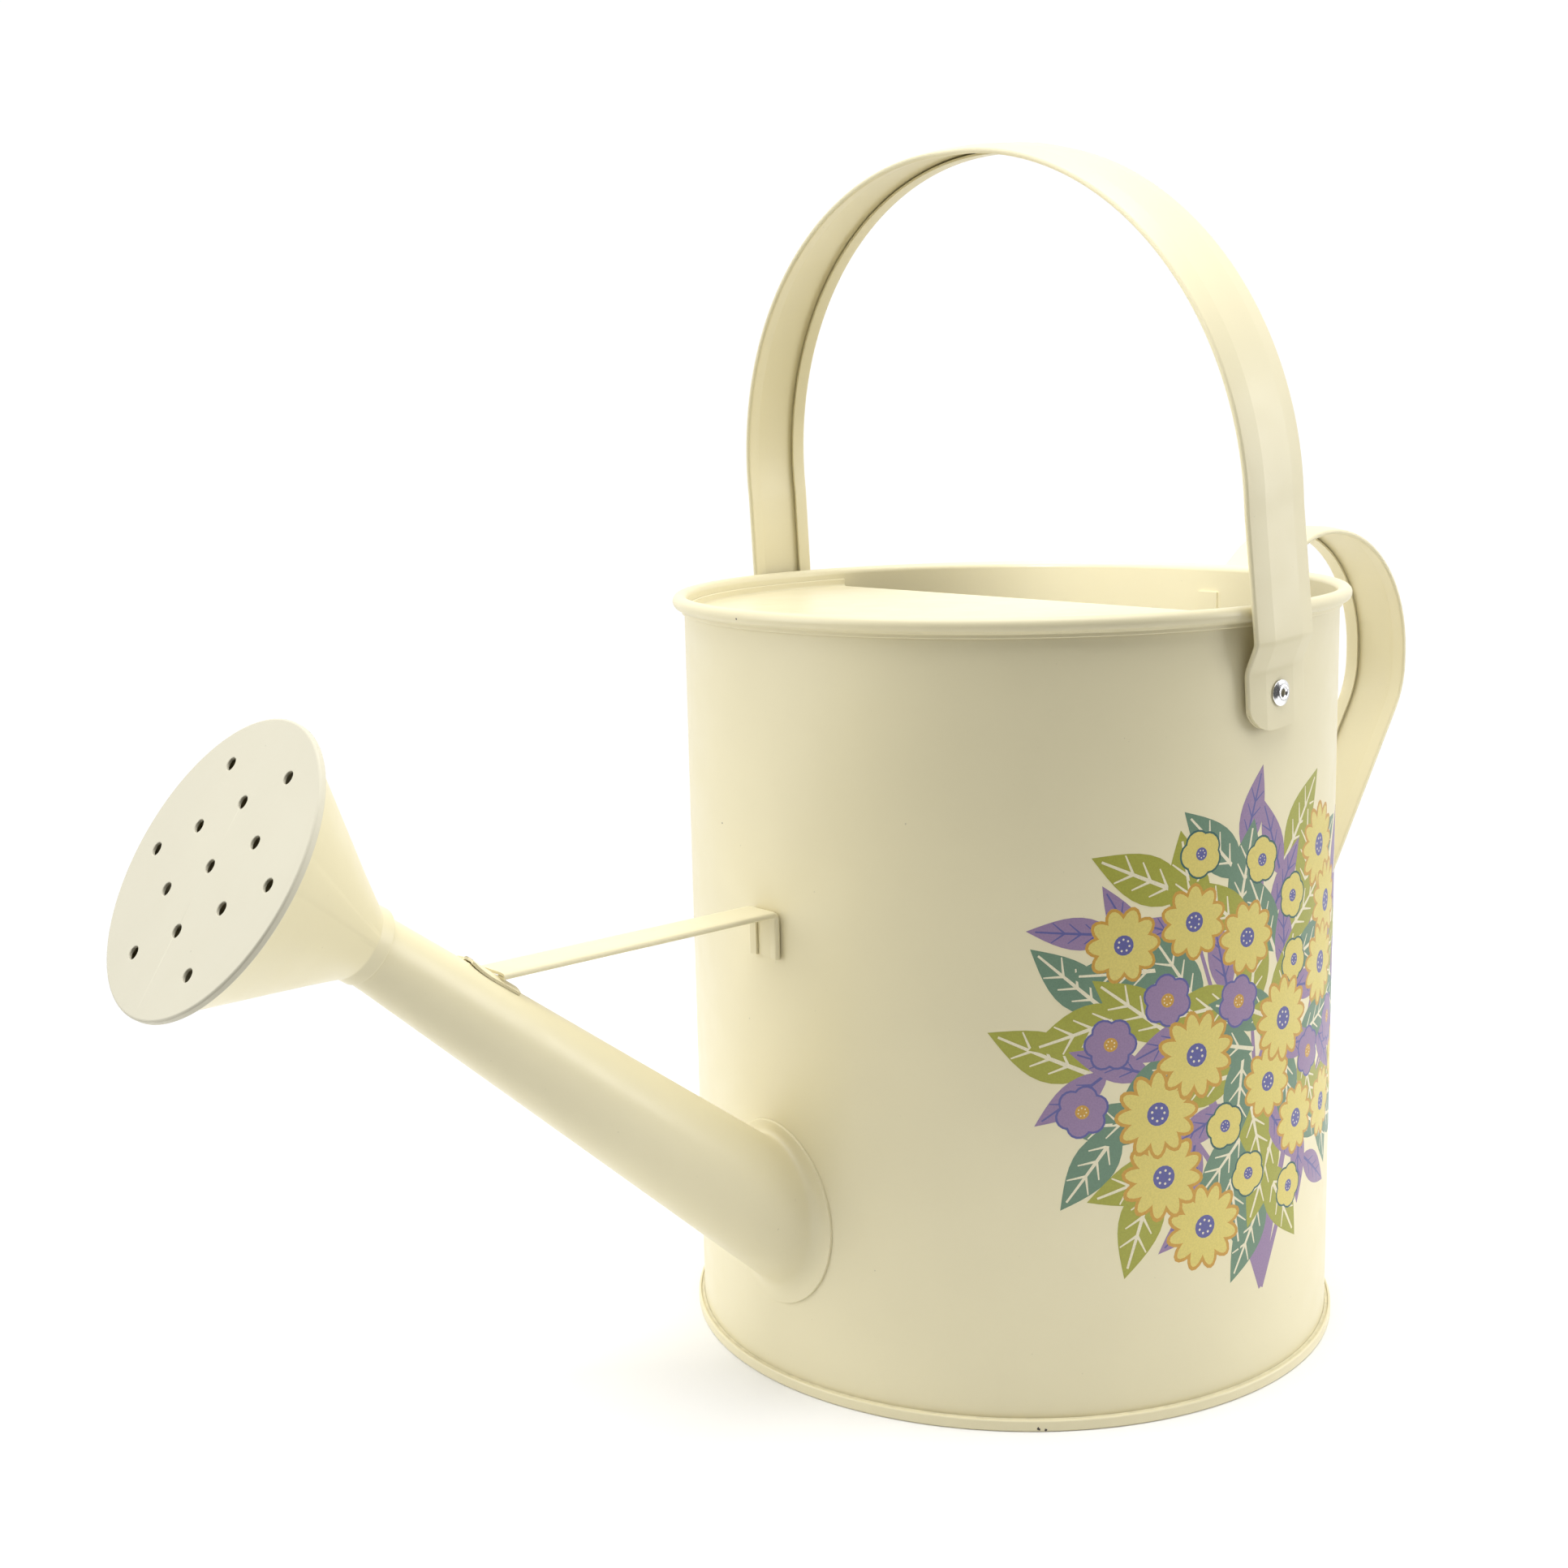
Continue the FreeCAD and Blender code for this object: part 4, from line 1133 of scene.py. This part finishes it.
def ink_layer(corners, triangles):
    """A closed layer with its inner skin just under the wall's face and its outer skin above it."""
    bm = bmesh.new()
    skins = []
    for radius in (DRUM_RADIUS + PRINT_RAISED, DRUM_RADIUS - PRINT_SUNK):
        used = {}
        for index in {corner for triangle in triangles for corner in triangle}:
            angle = corners[index].x / DRUM_RADIUS - math.pi / 2
            used[index] = bm.verts.new(round_axis(angle, radius, corners[index].y) * MM)
        skins.append(used)
    outer, inner = skins
    edges = {}
    for a, b, c in triangles:
        bm.faces.new((outer[a], outer[b], outer[c]))
        bm.faces.new((inner[c], inner[b], inner[a]))
        for pair in ((a, b), (b, c), (c, a)):
            edges[pair] = True
    for a, b in edges:
        if (b, a) not in edges:
            bm.faces.new((outer[b], outer[a], inner[a], inner[b]))
    bm.normal_update()
    return bm


def shade_print(mesh):
    """Give the print's outer skin the wall's own normals, so that its facets don't show."""
    mesh.shade_smooth()
    normals = []
    for face in mesh.polygons:
        outwards = Vector((face.center.x, face.center.y, 0)).normalized()
        on_skin = face.normal.dot(outwards) > 0.9
        for index in face.vertices:
            place = mesh.vertices[index].co
            round_wall = Vector((place.x, place.y, 0)).normalized()
            normals.append(round_wall if on_skin else face.normal.copy())
    mesh.normals_split_custom_set(normals)


# ---------------------------------------------------------------- stage, light and camera

# Places here are metres.

FLOOR_RADIUS = 0.42
BRIGHT_SIDE = (0.566, 0.824, 0.3)
DIM_STRENGTH = 0.10
BRIGHT_STRENGTH = 1.02


def make_floor():
    """A plain round table top, kept small so that it throws less light up at the can."""
    bm = bmesh.new()
    bmesh.ops.create_circle(bm, cap_ends=True, segments=96, radius=FLOOR_RADIUS)
    floor = object_from_bmesh("floor", bm)
    material, nodes, links, shader = new_material("pale_floor")
    tone = object_noise(nodes, links, 3, 2)
    mottle(nodes, links, tone, grey(0.84), grey(0.86), shader.inputs["Base Color"])
    shader.inputs["Roughness"].default_value = 0.9
    shader.inputs["Specular IOR Level"].default_value = 0.1
    floor.data.materials.append(material)


def hang_light(light, place, target):
    """Put a light at a place and point it at a target."""
    item = bpy.data.objects.new(light.name, light)
    item.location = place
    item.rotation_euler = (Vector(target) - Vector(place)).to_track_quat("-Z", "Y").to_euler()
    bpy.context.scene.collection.objects.link(item)


def soft_box(name, place, target, size, power):
    light = bpy.data.lights.new(name, "AREA")
    light.shape = "RECTANGLE"
    light.size, light.size_y = size
    light.energy = power
    hang_light(light, place, target)


def narrow_lamp(name, place, target, width, power):
    light = bpy.data.lights.new(name, "SPOT")
    light.energy = power
    light.spot_size = width
    light.spot_blend = 0.6
    light.shadow_soft_size = 0.03
    hang_light(light, place, target)


def make_world():
    """White surroundings that fade towards the side away from BRIGHT_SIDE."""
    world = bpy.data.worlds.new("studio")
    world.use_nodes = True
    nodes, links = world.node_tree.nodes, world.node_tree.links
    direction = nodes.new("ShaderNodeTexCoord")
    towards = nodes.new("ShaderNodeVectorMath")
    towards.operation = "DOT_PRODUCT"
    links.new(direction.outputs["Generated"], towards.inputs[0])
    towards.inputs[1].default_value = BRIGHT_SIDE
    spread = nodes.new("ShaderNodeMapRange")
    spread.interpolation_type = "SMOOTHSTEP"
    spread.inputs["From Min"].default_value = -0.6
    spread.inputs["From Max"].default_value = 0.4
    spread.inputs["To Min"].default_value = DIM_STRENGTH
    spread.inputs["To Max"].default_value = BRIGHT_STRENGTH
    links.new(towards.outputs["Value"], spread.inputs["Value"])
    links.new(spread.outputs["Result"], nodes["Background"].inputs["Strength"])
    nodes["Background"].inputs["Color"].default_value = (1, 1, 1, 1)
    bpy.context.scene.world = world


def make_lights():
    """A soft box on each side and above, and a lamp that shines under the bail into the mouth."""
    soft_box("left_box", (-1.15, 0.60, 0.60), (0, 0, 0.12), (0.9, 1.1), 7.5)
    soft_box("top_box", (-0.10, -0.16, 1.25), (-0.02, -0.04, 0), (1.2, 1.2), 14)
    soft_box("right_box", (0.85, -0.95, 0.42), (0, 0, 0.2), (0.7, 0.7), 7)
    narrow_lamp("mouth_spot", (-0.9, -0.5, 0.75), (0.08, 0.03, 0.19), math.radians(5.5), 45)


def make_camera():
    """The camera that fits the reference view."""
    distance = 0.57715
    azimuth = math.radians(-46.45)
    height = 0.24906
    heading = azimuth + math.radians(6.128)
    pitch = math.radians(10.018)
    roll = math.radians(-1.318)

    right = Vector((math.cos(heading), math.sin(heading), 0))
    forward = Vector((-math.sin(heading) * math.cos(pitch),
                      math.cos(heading) * math.cos(pitch), -math.sin(pitch)))
    up = right.cross(forward)
    turned_right = right * math.cos(roll) + up * math.sin(roll)
    turned_up = up * math.cos(roll) - right * math.sin(roll)
    camera = bpy.data.cameras.new("view")
    camera.sensor_width = 36.0
    camera.lens = 48.58
    camera.clip_start = 0.01
    item = bpy.data.objects.new("view", camera)
    place = Vector((distance * math.sin(azimuth), -distance * math.cos(azimuth), height))
    axes = Matrix((turned_right, turned_up, -forward)).transposed().to_4x4()
    item.matrix_world = Matrix.Translation(place) @ axes
    bpy.context.scene.collection.objects.link(item)
    bpy.context.scene.camera = item
    bpy.context.scene.view_settings.view_transform = "Standard"


make_drum()
make_base()
make_guard()
make_spout()
make_rose_cone()
make_rose_face()
make_brace()
make_rear_handle()
make_bail()
make_rivets()
dress_cad_nodes()
make_print()
make_floor()
make_world()
make_lights()
make_camera()
